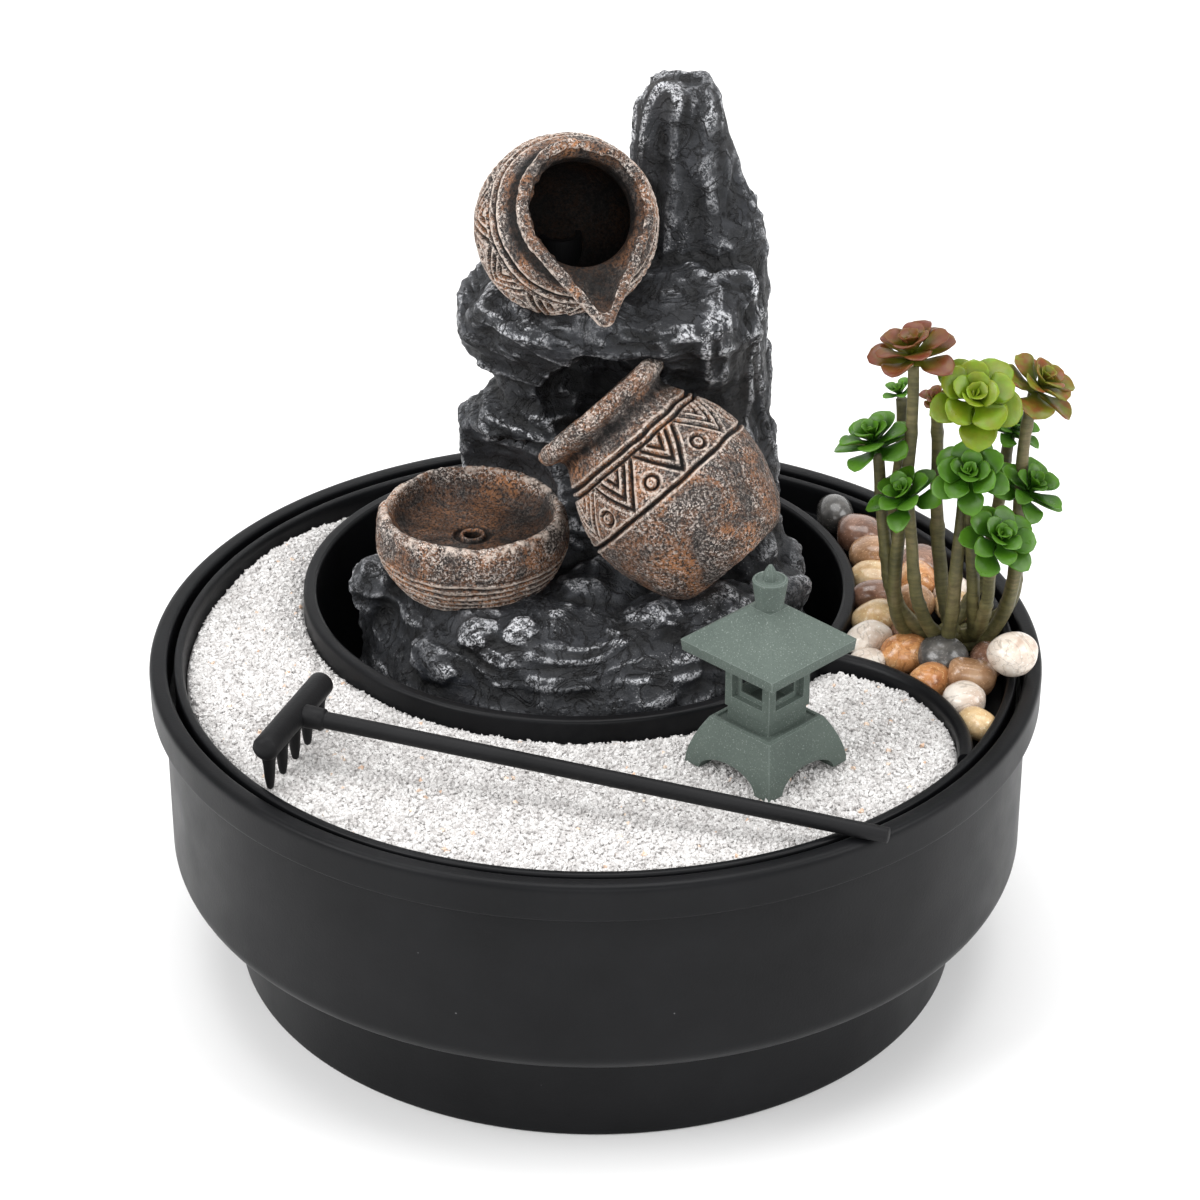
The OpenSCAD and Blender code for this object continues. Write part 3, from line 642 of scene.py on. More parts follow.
def combined(base, *steps):
    """Points and faces of base after a list of ("UNION" or "DIFFERENCE", part) booleans."""
    obj = raw_object(*base)
    tools = []
    for operation, part in steps:
        tool = raw_object(*part)
        tools.append(tool)
        modifier = obj.modifiers.new("cut", "BOOLEAN")
        modifier.operation, modifier.object, modifier.solver = operation, tool, "EXACT"
    evaluated = obj.evaluated_get(bpy.context.evaluated_depsgraph_get())
    mesh = evaluated.to_mesh()
    points = np.empty(len(mesh.vertices) * 3)
    mesh.vertices.foreach_get("co", points)
    faces = [tuple(p.vertices) for p in mesh.polygons]
    evaluated.to_mesh_clear()
    for scratch in [obj] + tools:
        discard(scratch)
    return points.reshape(-1, 3), faces


def crisp(obj, angle=38):
    """Smooth shading that stays sharp at corners steeper than the angle."""
    obj.data.set_sharp_from_angle(angle=math.radians(angle))
    return obj


def slab_of(outline, z_low, z_high):
    """A flat plate from a plan outline."""
    n = len(outline)
    verts = [(*p, z_low) for p in outline] + [(*p, z_high) for p in outline]
    faces = [tuple(range(n - 1, -1, -1)), tuple(range(n, 2 * n))]
    faces += [(i, (i + 1) % n, n + (i + 1) % n, n + i) for i in range(n)]
    return verts, faces


def moved(part, x, y):
    return np.asarray(part[0]) + np.array([x, y, 0]), part[1]


def build_tray():
    """The inner tray: rim and pool well in one mesh, then the plant bay's floor and the divider."""
    top = TRAY_TOP
    rim = turned(rounded([
        (0, 67), (105.7, 67), (105.7, 76.3), (108.7, 76.3), (108.7, top, 0.9), (106.5, top, 0.8),
        (106.1, 84.4, 0.3), (105.6, 78), (103.8, 77, 0.6), (103.8, 69), (0, 69)], 0.5, 4), SEGMENTS)
    well = moved(turned(rounded([
        (0, 36), (71.3, 36), (71.3, 76.5), (POOL_R, 76.5), (POOL_R, top, 1.3), (0, top)],
        0.5, 5), SEGMENTS), *POOL)
    hollow = moved(turned(rounded([
        (0, 38), (70, 38), (70, top - 0.9), (70.25, top - 0.3), (70.9, top), (71.4, top + 2), (0, top + 2)],
        0.2, 3), SEGMENTS), *POOL)
    divider = wall_strip(arc(DIVIDER, DIVIDER_R, -9, 77, 70), 2, 76.4, top - 0.02, False)
    plant_floor = slab_of(np.vstack([arc((0, 0), 105, -32, 86, 60), arc(POOL, POOL_R - 1, 68, -28, 40),
                                     arc(DIVIDER, DIVIDER_R, 75, -7, 30)]), 76.4, 78)
    notch = slab_of([(-7.3, 98), (-1.3, 98), (-1.3, 112), (-7.3, 112)], 80, 90)
    points, faces = combined(rim, ("UNION", well), ("DIFFERENCE", hollow), ("DIFFERENCE", notch))
    crisp(new_piece("tray_moulding", points, faces, "tray", TRAY_PLASTIC, "tray_plastic", ["inner_tray"]))
    crisp(new_piece("tray_plant_floor", *plant_floor, "tray", TRAY_PLASTIC, "tray_plastic"), 60)
    crisp(new_piece("tray_divider", *divider, "tray", TRAY_PLASTIC, "tray_plastic"), 60)


# ---------------------------------------------------------------- sand

SAND_START, SAND_END = -32.7, -229.0


def sand_reach(angle):
    """How far the sand runs from the pool's centre at an angle in radians."""
    ray = np.stack([np.cos(angle), np.sin(angle)], -1)

    def far_side(centre, radius):
        offset = POOL - centre
        b = ray @ offset
        root = b * b - (offset @ offset - radius * radius)
        return np.where(root > 0, -b + np.sqrt(np.maximum(root, 0)), np.inf)

    reach = far_side(np.zeros(2), 105.6)
    beside = far_side(DIVIDER, DIVIDER_R - 2)
    return np.where(angle > math.radians(-62), np.minimum(reach, beside), reach)


def sand_height(x, y):
    """The raked sand: low swells, and a slight fall to its edges."""
    p = np.stack([np.asarray(x) / 26, np.asarray(y) / 26, np.zeros_like(np.asarray(x, float))], -1)
    beside_pool = 1 - smoothstep(0, 8, np.hypot(np.asarray(x) - POOL[0], np.asarray(y) - POOL[1]) - POOL_R)
    return SAND_TOP - 0.5 + 0.75 * smooth_noise(p, 5) + 0.2 * smooth_noise(p * 3.1, 6) - 2.4 * beside_pool


def build_sand():
    """One closed body: a swelling surface over a flat underside."""
    rows, cols = 26, 240
    angle = np.radians(np.linspace(SAND_START, SAND_END, cols))
    reach = sand_reach(angle)
    share = np.linspace(0, 1, rows)[:, None]
    radius = POOL_R + 0.05 + (np.maximum(reach, POOL_R + 0.4) - POOL_R - 0.1) * share
    x = POOL[0] + radius * np.cos(angle)
    y = POOL[1] + radius * np.sin(angle)
    far = np.hypot(x, y)
    z = sand_height(x, y) - 1.2 * smoothstep(104.2, 105.8, far)
    surface = np.stack([x, y, z], -1).reshape(-1, 3)
    squeeze = np.minimum(1, 103.6 / far)
    under = np.stack([x * squeeze, y * squeeze, np.full_like(x, 69.05)], -1).reshape(-1, 3)
    faces = [f[::-1] for f in grid_faces(rows, cols, False)]
    n = rows * cols
    faces += [tuple(i + n for i in f[::-1]) for f in faces]
    rim = list(range(cols)) + [k * cols + cols - 1 for k in range(1, rows)]
    rim += [(rows - 1) * cols + i for i in range(cols - 2, -1, -1)]
    rim += [k * cols for k in range(rows - 2, 0, -1)]
    faces += [(i, j, n + j, n + i) for i, j in zip(rim, rim[1:] + rim[:1])]
    new_piece("sand_fill", np.vstack([surface, under]), [f[::-1] for f in faces], "tray", SAND, "sand",
              ["sand_bed"])


GRAIN_POINTS = np.array([(1, 0, 0), (-1, 0, 0), (0, 1, 0), (0, -1, 0), (0, 0, 1), (0, 0, -1)], float)
GRAIN_FACES = np.array([(0, 2, 4), (2, 1, 4), (1, 3, 4), (3, 0, 4),
                        (2, 0, 5), (1, 2, 5), (3, 1, 5), (0, 3, 5)])


def random_turns(rng, count):
    """Random rotation matrices."""
    q = rng.normal(size=(count, 4))
    q /= np.linalg.norm(q, axis=1)[:, None]
    w, x, y, z = q.T
    return np.stack([
        np.stack([1 - 2 * (y * y + z * z), 2 * (x * y - z * w), 2 * (x * z + y * w)], -1),
        np.stack([2 * (x * y + z * w), 1 - 2 * (x * x + z * z), 2 * (y * z - x * w)], -1),
        np.stack([2 * (x * z - y * w), 2 * (y * z + x * w), 1 - 2 * (x * x + y * y)], -1)], 1)


def grains(name, count, size, lift, material, seed):
    """Loose angular grains over the sand, each a crushed crystal of its own."""
    rng = np.random.default_rng(seed)
    angle = np.radians(rng.uniform(SAND_END, SAND_START, count * 4))
    reach = sand_reach(angle) - 0.9
    inner = POOL_R + 0.7
    keep = rng.random(count * 4) < (reach ** 2 - inner ** 2) / 8200
    keep &= reach > inner + 0.3
    angle, reach = angle[keep][:count], reach[keep][:count]
    radius = np.sqrt(inner ** 2 + (reach ** 2 - inner ** 2) * rng.random(len(angle)))
    x, y = POOL[0] + radius * np.cos(angle), POOL[1] + radius * np.sin(angle)
    count = len(x)
    z = sand_height(x, y) + rng.uniform(lift[0], lift[1], count)
    z = z - 1.0 * smoothstep(103.4, 105.4, np.hypot(x, y))
    shape = GRAIN_POINTS[None] * (1 + rng.uniform(-0.28, 0.28, (count, len(GRAIN_POINTS), 1)))
    shape = shape * rng.uniform(0.72, 1.15, (count, 1, 3)) * rng.uniform(size[0], size[1], (count, 1, 1))
    shape = np.einsum("nij,nkj->nki", random_turns(rng, count), shape)
    points = (shape + np.stack([x, y, z], -1)[:, None]).reshape(-1, 3)
    faces = (GRAIN_FACES[None] + len(GRAIN_POINTS) * np.arange(count)[:, None, None]).reshape(-1, 3)
    new_piece(name, points, faces.tolist(), "tray", material, "sand", smooth=False)


# ---------------------------------------------------------------- pots

POT_SIDES = 408


def pot_rows(*runs):
    """Profile points for a pot; each run is (points, spacing)."""
    return joined_path(*[through(points, spacing) for points, spacing in runs])


def pot_piece(name, rows, shape, at, turn, node):
    """A closed pot. rows run from the foot's centre round the outside, over the lip and down the inside
    to the floor's centre; shape(angle, r, z) gives new r, z and tone."""
    inner = rows[1:-1]
    angle = np.arange(POT_SIDES) * 2 * math.pi / POT_SIDES
    r = np.repeat(inner[:, 0:1], POT_SIDES, 1)
    z = np.repeat(inner[:, 1:2], POT_SIDES, 1)
    a = np.repeat(angle[None], len(inner), 0)
    r, z, tone = shape(a, r, z)
    points = np.stack([r * np.cos(a), r * np.sin(a), z], -1).reshape(-1, 3)
    n = len(points)
    ends = np.array([[0, 0, z[0].mean()], [0, 0, z[-1].mean()]])
    faces = grid_faces(len(inner), POT_SIDES)
    last = (len(inner) - 1) * POT_SIDES
    for i in range(POT_SIDES):
        j = (i + 1) % POT_SIDES
        faces.append((j, i, n))
        faces.append((last + i, last + j, n + 1))
    tone = np.concatenate([tone.ravel(), [tone[0].mean(), tone[-1].mean()]])
    return new_piece(name, place(np.vstack([points, ends]), at, turn), faces, "sculpture", POTTERY,
                     "pottery", [node], tone=tone)


def outward(rows_r, rows_z):
    """Unit normals of a profile, pointing out of the clay."""
    dr = np.gradient(rows_r[:, 0])[:, None]
    dz = np.gradient(rows_z[:, 0])[:, None]
    size = np.hypot(dr, dz) + 1e-9
    return dz / size, -dr / size


def cut(distance, half_width, soft=0.28):
    """Depth (0 to 1) of a scribed line at a distance from its middle."""
    return 1 - smoothstep(half_width - soft, half_width + soft, np.abs(distance))


def scribed(r, z, a, depth, grooves, seed, amount=1.0):
    """Cuts grooves (0 to 1) into the outside and roughens the ware; returns r, z and tone."""
    nr, nz = outward(r, z)
    p = np.stack([r * np.cos(a), r * np.sin(a), z], -1)
    soft = layered_noise(p / 7.0, seed, 3)
    grain = layered_noise(p / 1.25, seed + 9, 2)
    shift = 0.16 * soft * amount + 0.10 * grain * amount - depth * grooves
    near = np.clip(grooves, 0, 1)
    tone = 0.60 + 0.16 * grain + 0.10 * soft
    tone = tone * (1 - near) + 0.02 * near
    return r + nr * shift, z + nz * shift, tone


def halo(distance, half_width, reach=0.75):
    """Raised, worn clay along both sides of a scribed line."""
    d = np.abs(distance) - half_width
    return np.exp(-((d - 0.45) / (0.5 * reach)) ** 2) * (d > 0)


def chevrons(a, z, radius, periods, low, high, strokes, step, width, phase=0.0):
    """Nested V strokes between two heights, pointing at the low line, with a ring in each gap."""
    period = 2 * math.pi * radius / periods
    s = (a + phase) * radius
    cell = (s / period) % 1.0
    t = np.abs(cell - 0.5) * period
    slope = (high - low) / (period / 2)
    q = (z - low - slope * t) / math.hypot(1, slope)
    inside = smoothstep(low - 0.2, low + 0.2, z) * (1 - smoothstep(high - 0.2, high + 0.2, z))
    groove = np.zeros_like(z)
    worn = np.zeros_like(z)
    for k in range(strokes):
        groove = np.maximum(groove, cut(q - 0.5 - step * k, width))
        worn = np.maximum(worn, halo(q - 0.5 - step * k, width))
    across = (period / 2 - t)
    ring = np.hypot(across, z - low - 3.4) - 1.75
    groove = np.maximum(groove, cut(ring, width * 0.8))
    worn = np.maximum(worn, halo(ring, width * 0.8))
    return groove * inside, worn * inside


def around(a, z, across, up, seed, octaves):
    """Noise that closes on itself round a pot."""
    return layered_noise(np.stack([np.cos(a) * across, np.sin(a) * across, z * up], -1), seed, octaves)


def carved_band(a, z, outside, wander, lines, chevron):
    """Grooves, and the worn clay beside them: rings at (height, half width), and a row of chevrons."""
    groove, worn = np.zeros_like(z), np.zeros_like(z)
    v = z[outside] + wander
    for height, width in lines:
        groove[outside] = np.maximum(groove[outside], cut(v - height, width))
        worn[outside] = np.maximum(worn[outside], halo(v - height, width))
    g, w = chevrons(a[outside], v, *chevron)
    groove[outside] = np.maximum(groove[outside], g)
    worn[outside] = np.maximum(worn[outside], w)
    return groove, worn


def jar_shape(a, r, z):
    """A carved band round the shoulder, and a thick uneven lip."""
    n_out = JAR_OUTSIDE
    groove, worn = carved_band(a, z, slice(0, n_out), 0.28 * around(a[:n_out], z[:n_out], 3, 0, 31, 2),
                               [(-13.2, 0.5), (-15.1, 0.42), (-28.2, 0.5)],
                               (22.6, 9, -27.2, -15.8, 3, 2.05, 0.48, 0.35))
    r2, z2, tone = scribed(r, z, a, 1.1, groove, 33)
    tone = np.clip(tone + 0.60 * worn * (1 - groove), 0, 1)
    r2[:n_out] += 0.18 * worn[:n_out] * (1 - groove[:n_out])
    lip = smoothstep(-5.2, -3.4, z[:n_out])
    wave = around(a[:n_out], z[:n_out], 2.2, 0.12, 35, 3)
    r2[:n_out] += 0.55 * wave * lip
    z2[:n_out] += 0.35 * wave * lip
    tone[:n_out] += 0.14 * lip
    # painted shade: a dark band on the neck under the lip
    tone[:n_out] -= 0.40 * np.exp(-((z[:n_out] + 7.2) / 1.7) ** 2)
    # painted shade: the inside darkens towards the bottom
    tone[n_out:] = np.minimum(tone[n_out:], 0.45) * smoothstep(-26, -1, z[n_out:]) + 0.04
    return r2, z2, np.clip(tone, 0, 1)


JAR_AT = (0, 20, 145.2)
JAR_TURN = (0, -47.3, -26.1)
JAR_LOWER = pot_rows(
    ([(0, -54), (12.5, -54)], 1.2),
    ([(12.5, -54), (15.6, -53.2), (18.4, -50.4), (20.6, -46.6), (23.5, -38), (24.4, -32)], 0.55),
    ([(24.4, -32), (24.5, -29.5), (23.9, -25), (22.9, -21), (21, -16.8), (19.2, -13.2), (17.6, -10)], 0.30),
    ([(17.6, -10), (16.7, -8), (16.6, -6.6), (17.3, -5.3), (19.2, -4.6), (20.5, -3.6), (20.9, -2.3),
      (20.7, -0.9), (19.8, -0.1), (18.6, 0.1)], 0.34))
JAR_OUTSIDE = len(JAR_LOWER) - 1
JAR_ROWS = joined_path(JAR_LOWER, through([
    (18.6, 0.1), (17.4, -0.3), (16.5, -1.4), (14.6, -4), (13.4, -8), (14.6, -13), (18.6, -20), (20.8, -28),
    (20.6, -34), (18.4, -42), (14, -49), (0, -49)], 1.3))


def teardrop(theta, radius, tip, reach):
    """Polar radius of a round outline drawn out to a rounded tip, at an angle from the tip."""
    theta = np.abs((theta + math.pi) % (2 * math.pi) - math.pi)
    lean = math.acos((radius - tip) / reach)
    corner = math.atan2(tip * math.sin(lean), reach + tip * math.cos(lean))
    straight = radius / np.cos(np.minimum(theta, lean) - lean)
    end = reach * np.cos(theta) + np.sqrt(np.maximum(tip ** 2 - (reach * np.sin(theta)) ** 2, 0))
    return np.where(theta < corner, end, np.where(theta < lean, straight, radius))


def jug_shape(a, r, z):
    """The body is round; the neck, lip and throat run out to the spout on the low side (local -Y)."""
    n_out, n_lip = JUG_OUTSIDE, JUG_LIP
    theta = a + math.pi / 2
    body = slice(0, n_out)
    groove, worn = carved_band(a, z, body, 0.3 * around(a[body], z[body], 3, 0, 41, 2),
                               [(9.6, 0.62), (7.4, 0.55), (-6.4, 0.62), (-8.6, 0.55)],
                               (22.4, 9, -5.4, 6.4, 3, 2.1, 0.58, 0.2))
    r2, z2, tone = scribed(r, z, a, 1.25, groove, 43)
    tone = np.clip(tone + 0.70 * worn * (1 - groove), 0, 1)
    r2[body] += 0.16 * worn[body] * (1 - groove[body])

    lump = around(a, z, 2.4, 0, 45, 4)
    fine = around(a, z, 9, 0.3, 46, 3)
    outer = teardrop(theta, 17.4, 2.6, 27.6) + 0.5 * lump + 0.25 * fine
    inner = teardrop(theta, 14.8, 2.3, 24.2) + 0.45 * lump - 0.35 * fine
    r2[body] += (outer[body] - 17.4) * smoothstep(11.0, 18.4, z[body])
    z2[body] += (0.35 * lump[body] + 0.2 * fine[body]) * smoothstep(15.5, 18, z[body])
    # painted shade: a dark ring on the neck under the lip's overhang
    tone[body] -= 0.75 * np.exp(-((z[body] - 15.2) / 2.0) ** 2) * (z[body] < 18.2)
    tone[body] += 0.35 * smoothstep(18.0, 18.8, z[body])

    lip = slice(n_out, n_out + n_lip)
    share = np.linspace(0, 1, n_lip)[:, None]
    r2[lip] = outer[lip] * (1 - share) + inner[lip] * share
    on_lip = np.stack([r2[lip] * np.cos(a[lip]), r2[lip] * np.sin(a[lip]), a[lip] * 0], -1)
    pitted = layered_noise(on_lip / 1.1, 47, 2)
    z2[lip] = 20 + 0.35 * np.sin(math.pi * share) + 0.45 * lump[lip] + 0.2 * fine[lip] + 0.22 * pitted \
        - 0.5 * smoothstep(0.9, 1, share) - 0.5 * (1 - smoothstep(0, 0.12, share))
    tone[lip] = 0.52 + 0.25 * pitted + 0.42 * (np.abs(share - 0.5) * 2) ** 3

    throat = slice(n_out + n_lip, None)
    down = (20 - z[throat]) / 7.0
    steep = smoothstep(0, 0.45, down)
    run = smoothstep(0.40, 1.0, down)
    in_funnel = down < 1
    r2[throat] = np.where(in_funnel, (inner[throat] - 1.2 * steep) * (1 - run) + r[throat] * run, r[throat])
    z2[throat] = z[throat] + 0.45 * lump[throat] * (1 - smoothstep(0, 1, down))
    # the funnel's dark ware, darkened to black further down the throat by painted shade
    tone[throat] = 0.27 * (1 - smoothstep(0.25, 1.05, down)) + 0.05 * pitted[:1] * in_funnel
    return r2, z2, np.clip(tone, 0, 1)


JUG_AT = (-7.4, 30, 190)
JUG_TURN = (54, 0, 18)
JUG_BODY = pot_rows(
    ([(0, -22), (9, -22)], 1.2),
    ([(9, -22), (12.4, -21.2), (16.6, -17.6), (21, -10.4)], 0.45),
    ([(21, -10.4), (22.6, -5), (23.1, 0), (22.9, 4.2), (21.9, 8), (20.1, 11.4)], 0.30),
    ([(20.1, 11.4), (18.2, 13.9), (16.5, 15.6), (15.9, 16.6), (16.2, 17.5), (17.2, 18.1), (17.5, 18.8),
      (17.4, 19.5)], 0.26))
JUG_OUTSIDE = len(JUG_BODY) - 1
JUG_LIP = 17
JUG_ROWS = np.vstack([
    JUG_BODY, [(16, 20)] * JUG_LIP, through([(14.0, 19.9), (13.6, 13.2)], 0.42),
    through([(13.6, 12.6), (14.2, 10), (17.6, 6), (19.6, 1), (19.2, -8), (15, -14.6), (9, -18.4), (0, -18.6)],
            1.0)])


def drain_shape(a, r, z):
    """Turned ridges outside, an uneven rim, and a ring and a boss about the drain hole."""
    n_out = DRAIN_OUTSIDE
    groove = np.zeros_like(z)
    outside = slice(0, n_out)
    wander = 0.35 * around(a[outside], z[outside], 2.5, 0.2, 51, 3)
    turning = 0.5 + 0.5 * np.cos((z[outside] + wander - 0.9) * 2 * math.pi / 1.95)
    band = (1 - smoothstep(9.8, 11.6, z[outside])) * smoothstep(-3.2, -2.6, z[outside])
    groove[outside] = turning ** 3 * band
    r2, z2, tone = scribed(r, z, a, 0.85, groove, 53)
    tone[outside] = tone[outside] + 0.02 + 0.46 * (1 - turning) * band * (1 - groove[outside])
    lump = around(a, z, 3, 0, 55, 4)
    fine = around(a, z, 14, 0.4, 56, 2)
    high = smoothstep(15.5, 19.5, z)
    r2 += 0.35 * lump * high
    z2 += (0.5 * lump + 0.18 * fine) * high
    tone = tone + high * (0.22 + 0.15 * fine)
    inside = slice(n_out, None)
    shade = smoothstep(19.6, 14.5, z[inside])
    ring = cut(r[inside] - 4.15, 0.75, 0.35) * (z[inside] < 13.4)
    z2[inside] -= 0.9 * ring
    boss = np.exp(-((r[inside] - 2.9) / 0.55) ** 2) * (z[inside] < 13.4) * (z[inside] > 11)
    z2[inside] += 0.35 * boss
    deep = 0.27 + 0.08 * lump[inside] + 0.22 * boss - 0.24 * ring
    tone[inside] = tone[inside] * (1 - shade) + shade * deep
    # painted shade: the drain well is painted near black
    well = z[inside] < 11.4
    tone[inside] = np.where(well, 0.02, tone[inside])
    return r2, z2, np.clip(tone, 0, 1)


DRAIN_AT = (-32.1, 20, 95)
DRAIN_OUTER = pot_rows(([(0, -3.6), (13, -3.6)], 1.4),
                       ([(13, -3.6), (15.6, -3.2), (18.6, -1.2), (21, 1.4), (22.9, 4.2), (24.2, 7), (25, 9.6),
                         (25.2, 11)], 0.26),
                       ([(25.2, 11), (25.15, 13.6), (24.9, 16), (24.5, 18), (24.1, 19.2), (23.3, 20)], 0.4))
DRAIN_OUTSIDE = len(DRAIN_OUTER) - 1
DRAIN_ROWS = joined_path(
    DRAIN_OUTER,
    through([(23.3, 20), (22.6, 20.05), (21.9, 19.6), (21.5, 18), (20.3, 15), (17.6, 12.6), (13, 12.15),
             (7, 12.05)], 0.55),
    through([(7, 12.05), (2.3, 12)], 0.2), through([(2.3, 12), (2.2, 11.2), (2.2, 5)], 0.8),
    through([(2.2, 5), (0, 4.9)], 0.8))


def build_pots():
    pot_piece("round_jar_ware", JAR_ROWS, jar_shape, JAR_AT, JAR_TURN, "round_jar")
    pot_piece("pouring_jug_ware", JUG_ROWS, jug_shape, JUG_AT, JUG_TURN, "pouring_jug")
    pot_piece("drain_bowl_ware", DRAIN_ROWS, drain_shape, DRAIN_AT, (0, 0, 0), "drain_bowl")


# ---------------------------------------------------------------- rock

def loft(sections, sides=48, power=2.0, wobble=0.0, seed=0):
    """A closed body through level outlines (z, left, right, front, back)."""
    angle = np.arange(sides) * 2 * math.pi / sides
    c, s = np.cos(angle), np.sin(angle)
    unit = (np.abs(c) ** power + np.abs(s) ** power) ** (-1 / power)
    rows = []
    for z, left, right, front, back in sections:
        bulge = 1 + wobble * layered_noise(np.stack([c * 1.6, s * 1.6, np.full(sides, z / 16)], -1), seed, 3)
        rows.append(np.stack([(left + right) / 2 + (right - left) / 2 * unit * bulge * c,
                              (front + back) / 2 + (back - front) / 2 * unit * bulge * s,
                              np.full(sides, float(z))], -1))
    n = len(rows)
    points = np.vstack(rows)
    return points, capped_grid(n, sides)


def boulder(at, size, turn=(0, 0, 0), seed=0):
    """A lumpy stone as a closed body."""
    rows, sides = 14, 24
    lat = np.linspace(-math.pi / 2, math.pi / 2, rows)[1:-1]
    lon = np.arange(sides) * 2 * math.pi / sides
    p = np.stack([np.cos(lat)[:, None] * np.cos(lon), np.cos(lat)[:, None] * np.sin(lon),
                  np.repeat(np.sin(lat)[:, None], sides, 1)], -1).reshape(-1, 3)
    p = np.vstack([p, [0, 0, -1], [0, 0, 1]])
    p = p * (1 + 0.16 * layered_noise(p * 1.7, seed, 2))[:, None] * np.array(size, float)
    faces = grid_faces(rows - 2, sides)
    n = (rows - 2) * sides
    for i in range(sides):
        j = (i + 1) % sides
        faces.append((j, i, n))
        faces.append((n - sides + i, n - sides + j, n + 1))
    return place(p, at, turn), faces


def remeshed(part, voxel):
    """Even quads over a closed body."""
    obj = raw_object(*part)
    modifier = obj.modifiers.new("even", "REMESH")
    modifier.mode, modifier.voxel_size = "VOXEL", voxel
    evaluated = obj.evaluated_get(bpy.context.evaluated_depsgraph_get())
    mesh = evaluated.to_mesh()
    points = np.empty(len(mesh.vertices) * 3)
    mesh.vertices.foreach_get("co", points)
    normals = np.empty(len(mesh.vertices) * 3)
    mesh.vertices.foreach_get("normal", normals)
    edges = np.empty(len(mesh.edges) * 2, int)
    mesh.edges.foreach_get("vertices", edges)
    faces = [tuple(p.vertices) for p in mesh.polygons]
    evaluated.to_mesh_clear()
    discard(obj)
    return points.reshape(-1, 3), normals.reshape(-1, 3), edges.reshape(-1, 2), faces


def neighbour_mean(values, edges):
    """Mean of each point's neighbours."""
    n = len(values)
    count = np.bincount(edges.ravel(), minlength=n).astype(float)
    values = values.reshape(n, -1)
    total = np.stack([np.bincount(edges[:, 0], values[edges[:, 1], k], n)
                      + np.bincount(edges[:, 1], values[edges[:, 0], k], n)
                      for k in range(values.shape[1])], -1)
    return (total / np.maximum(count, 1)[:, None]).squeeze()


def clear_of(points, outline, at, turn):
    """Moves points that lie inside a pot's outline (r, z) out to it: the rock stays out of the pot."""
    matrix = np.array(Euler([math.radians(a) for a in turn]).to_matrix())
    local = (points - np.array(at, float)) @ matrix
    outline = np.array(outline, float)
    r = np.hypot(local[:, 0], local[:, 1])
    wall = np.interp(local[:, 2], outline[:, 1], outline[:, 0], left=-1, right=-1)
    inside = (r < wall) & (wall > 0)
    scale = np.where(inside, wall / np.maximum(r, 0.01), 1)
    local[:, :2] *= scale[:, None]
    return local @ matrix.T + np.array(at, float)


MOUND = [(37.9, -63, 55, -25, 93), (58, -64, 56, -26, 94), (72, -64, 56, -26, 94), (80, -62, 55, -24, 92),
         (86, -59, 52, -21, 88), (91, -55, 47, -17, 82), (94.5, -49, 42, -12, 76), (97.5, -38, 36, 0, 68)]
COLUMN = [(60, -36, 50, 10, 66), (84, -39, 51, 12, 66), (98, -37, 49, 20, 65),
          (112, -36, 47.5, 24, 66), (122, -36.5, 46.5, 25, 66), (127, -35, 46.2, 25, 66),
          (133, -31, 46, 27, 66), (139, -25.5, 45.8, 28, 66), (145, -27, 45.5, 27, 66),
          (150, -31.5, 45.3, 24, 66), (156, -34.5, 45, 20, 66), (161, -34.5, 45, 14, 66),
          (166, -33, 44.6, 11.5, 66), (170, -31, 44, 13, 65), (173, -27, 43, 20, 64),
          (176, -14, 42, 32, 63)]
SLAB = [(120, 8, 46, 38, 66), (160, 7, 45.4, 38, 66), (177, 7, 44.6, 39, 66), (184, 9.6, 43.5, 41, 65),
        (189, 11, 39.5, 42, 65), (200, 11, 36.2, 43, 64), (208, 11, 33.6, 44, 63), (213, 11.4, 32.6, 45, 62),
        (217, 12.6, 31, 46, 61), (219.8, 15, 28.6, 48, 59)]
SHELF = [(150, -24, 30, 24, 60), (160, -26, 34, 15, 60), (166, -27, 30, 11, 60), (170, -24, 26, 12, 58),
         (173.5, -17, 20, 18, 50)]
BOULDERS = [  # centre, half sizes, turn
    ((-24, 48, 117), (13, 17, 14), (0, 10, 20)),
    ((-57, 25, 89), (7.5, 9, 8), (0, 0, 20)),
    ((-19, -8.6, 92.6), (4.6, 4.4, 5.4), (20, 0, 20)),
    ((3.6, -9.5, 91.6), (5.6, 4.6, 4.6), (10, 0, -20)),
    ((-30, -8, 92.4), (5, 4, 4), (10, 0, 10)),
    ((15, -4, 95), (9, 8, 6.6), (10, 0, 30)),
    ((30, 2, 93), (14, 14, 9), (0, 0, 10)),
    ((-9, -16, 84), (13, 7, 4.6), (16, 0, -6)),
    ((19, -13, 86), (10, 6, 4), (14, 0, 12)),
    ((-41, -4, 84), (9, 7, 6), (10, 0, -40)),
    ((46, 18, 91), (8, 9, 7), (0, 0, 0)),
    ((49, 31, 92), (6.4, 7, 6.6), (0, 0, 0)),
    ((40, 24, 99), (9, 8, 8), (0, 0, 0)),
    ((2, 12, 96), (12, 12, 6), (0, 0, 0)),
]
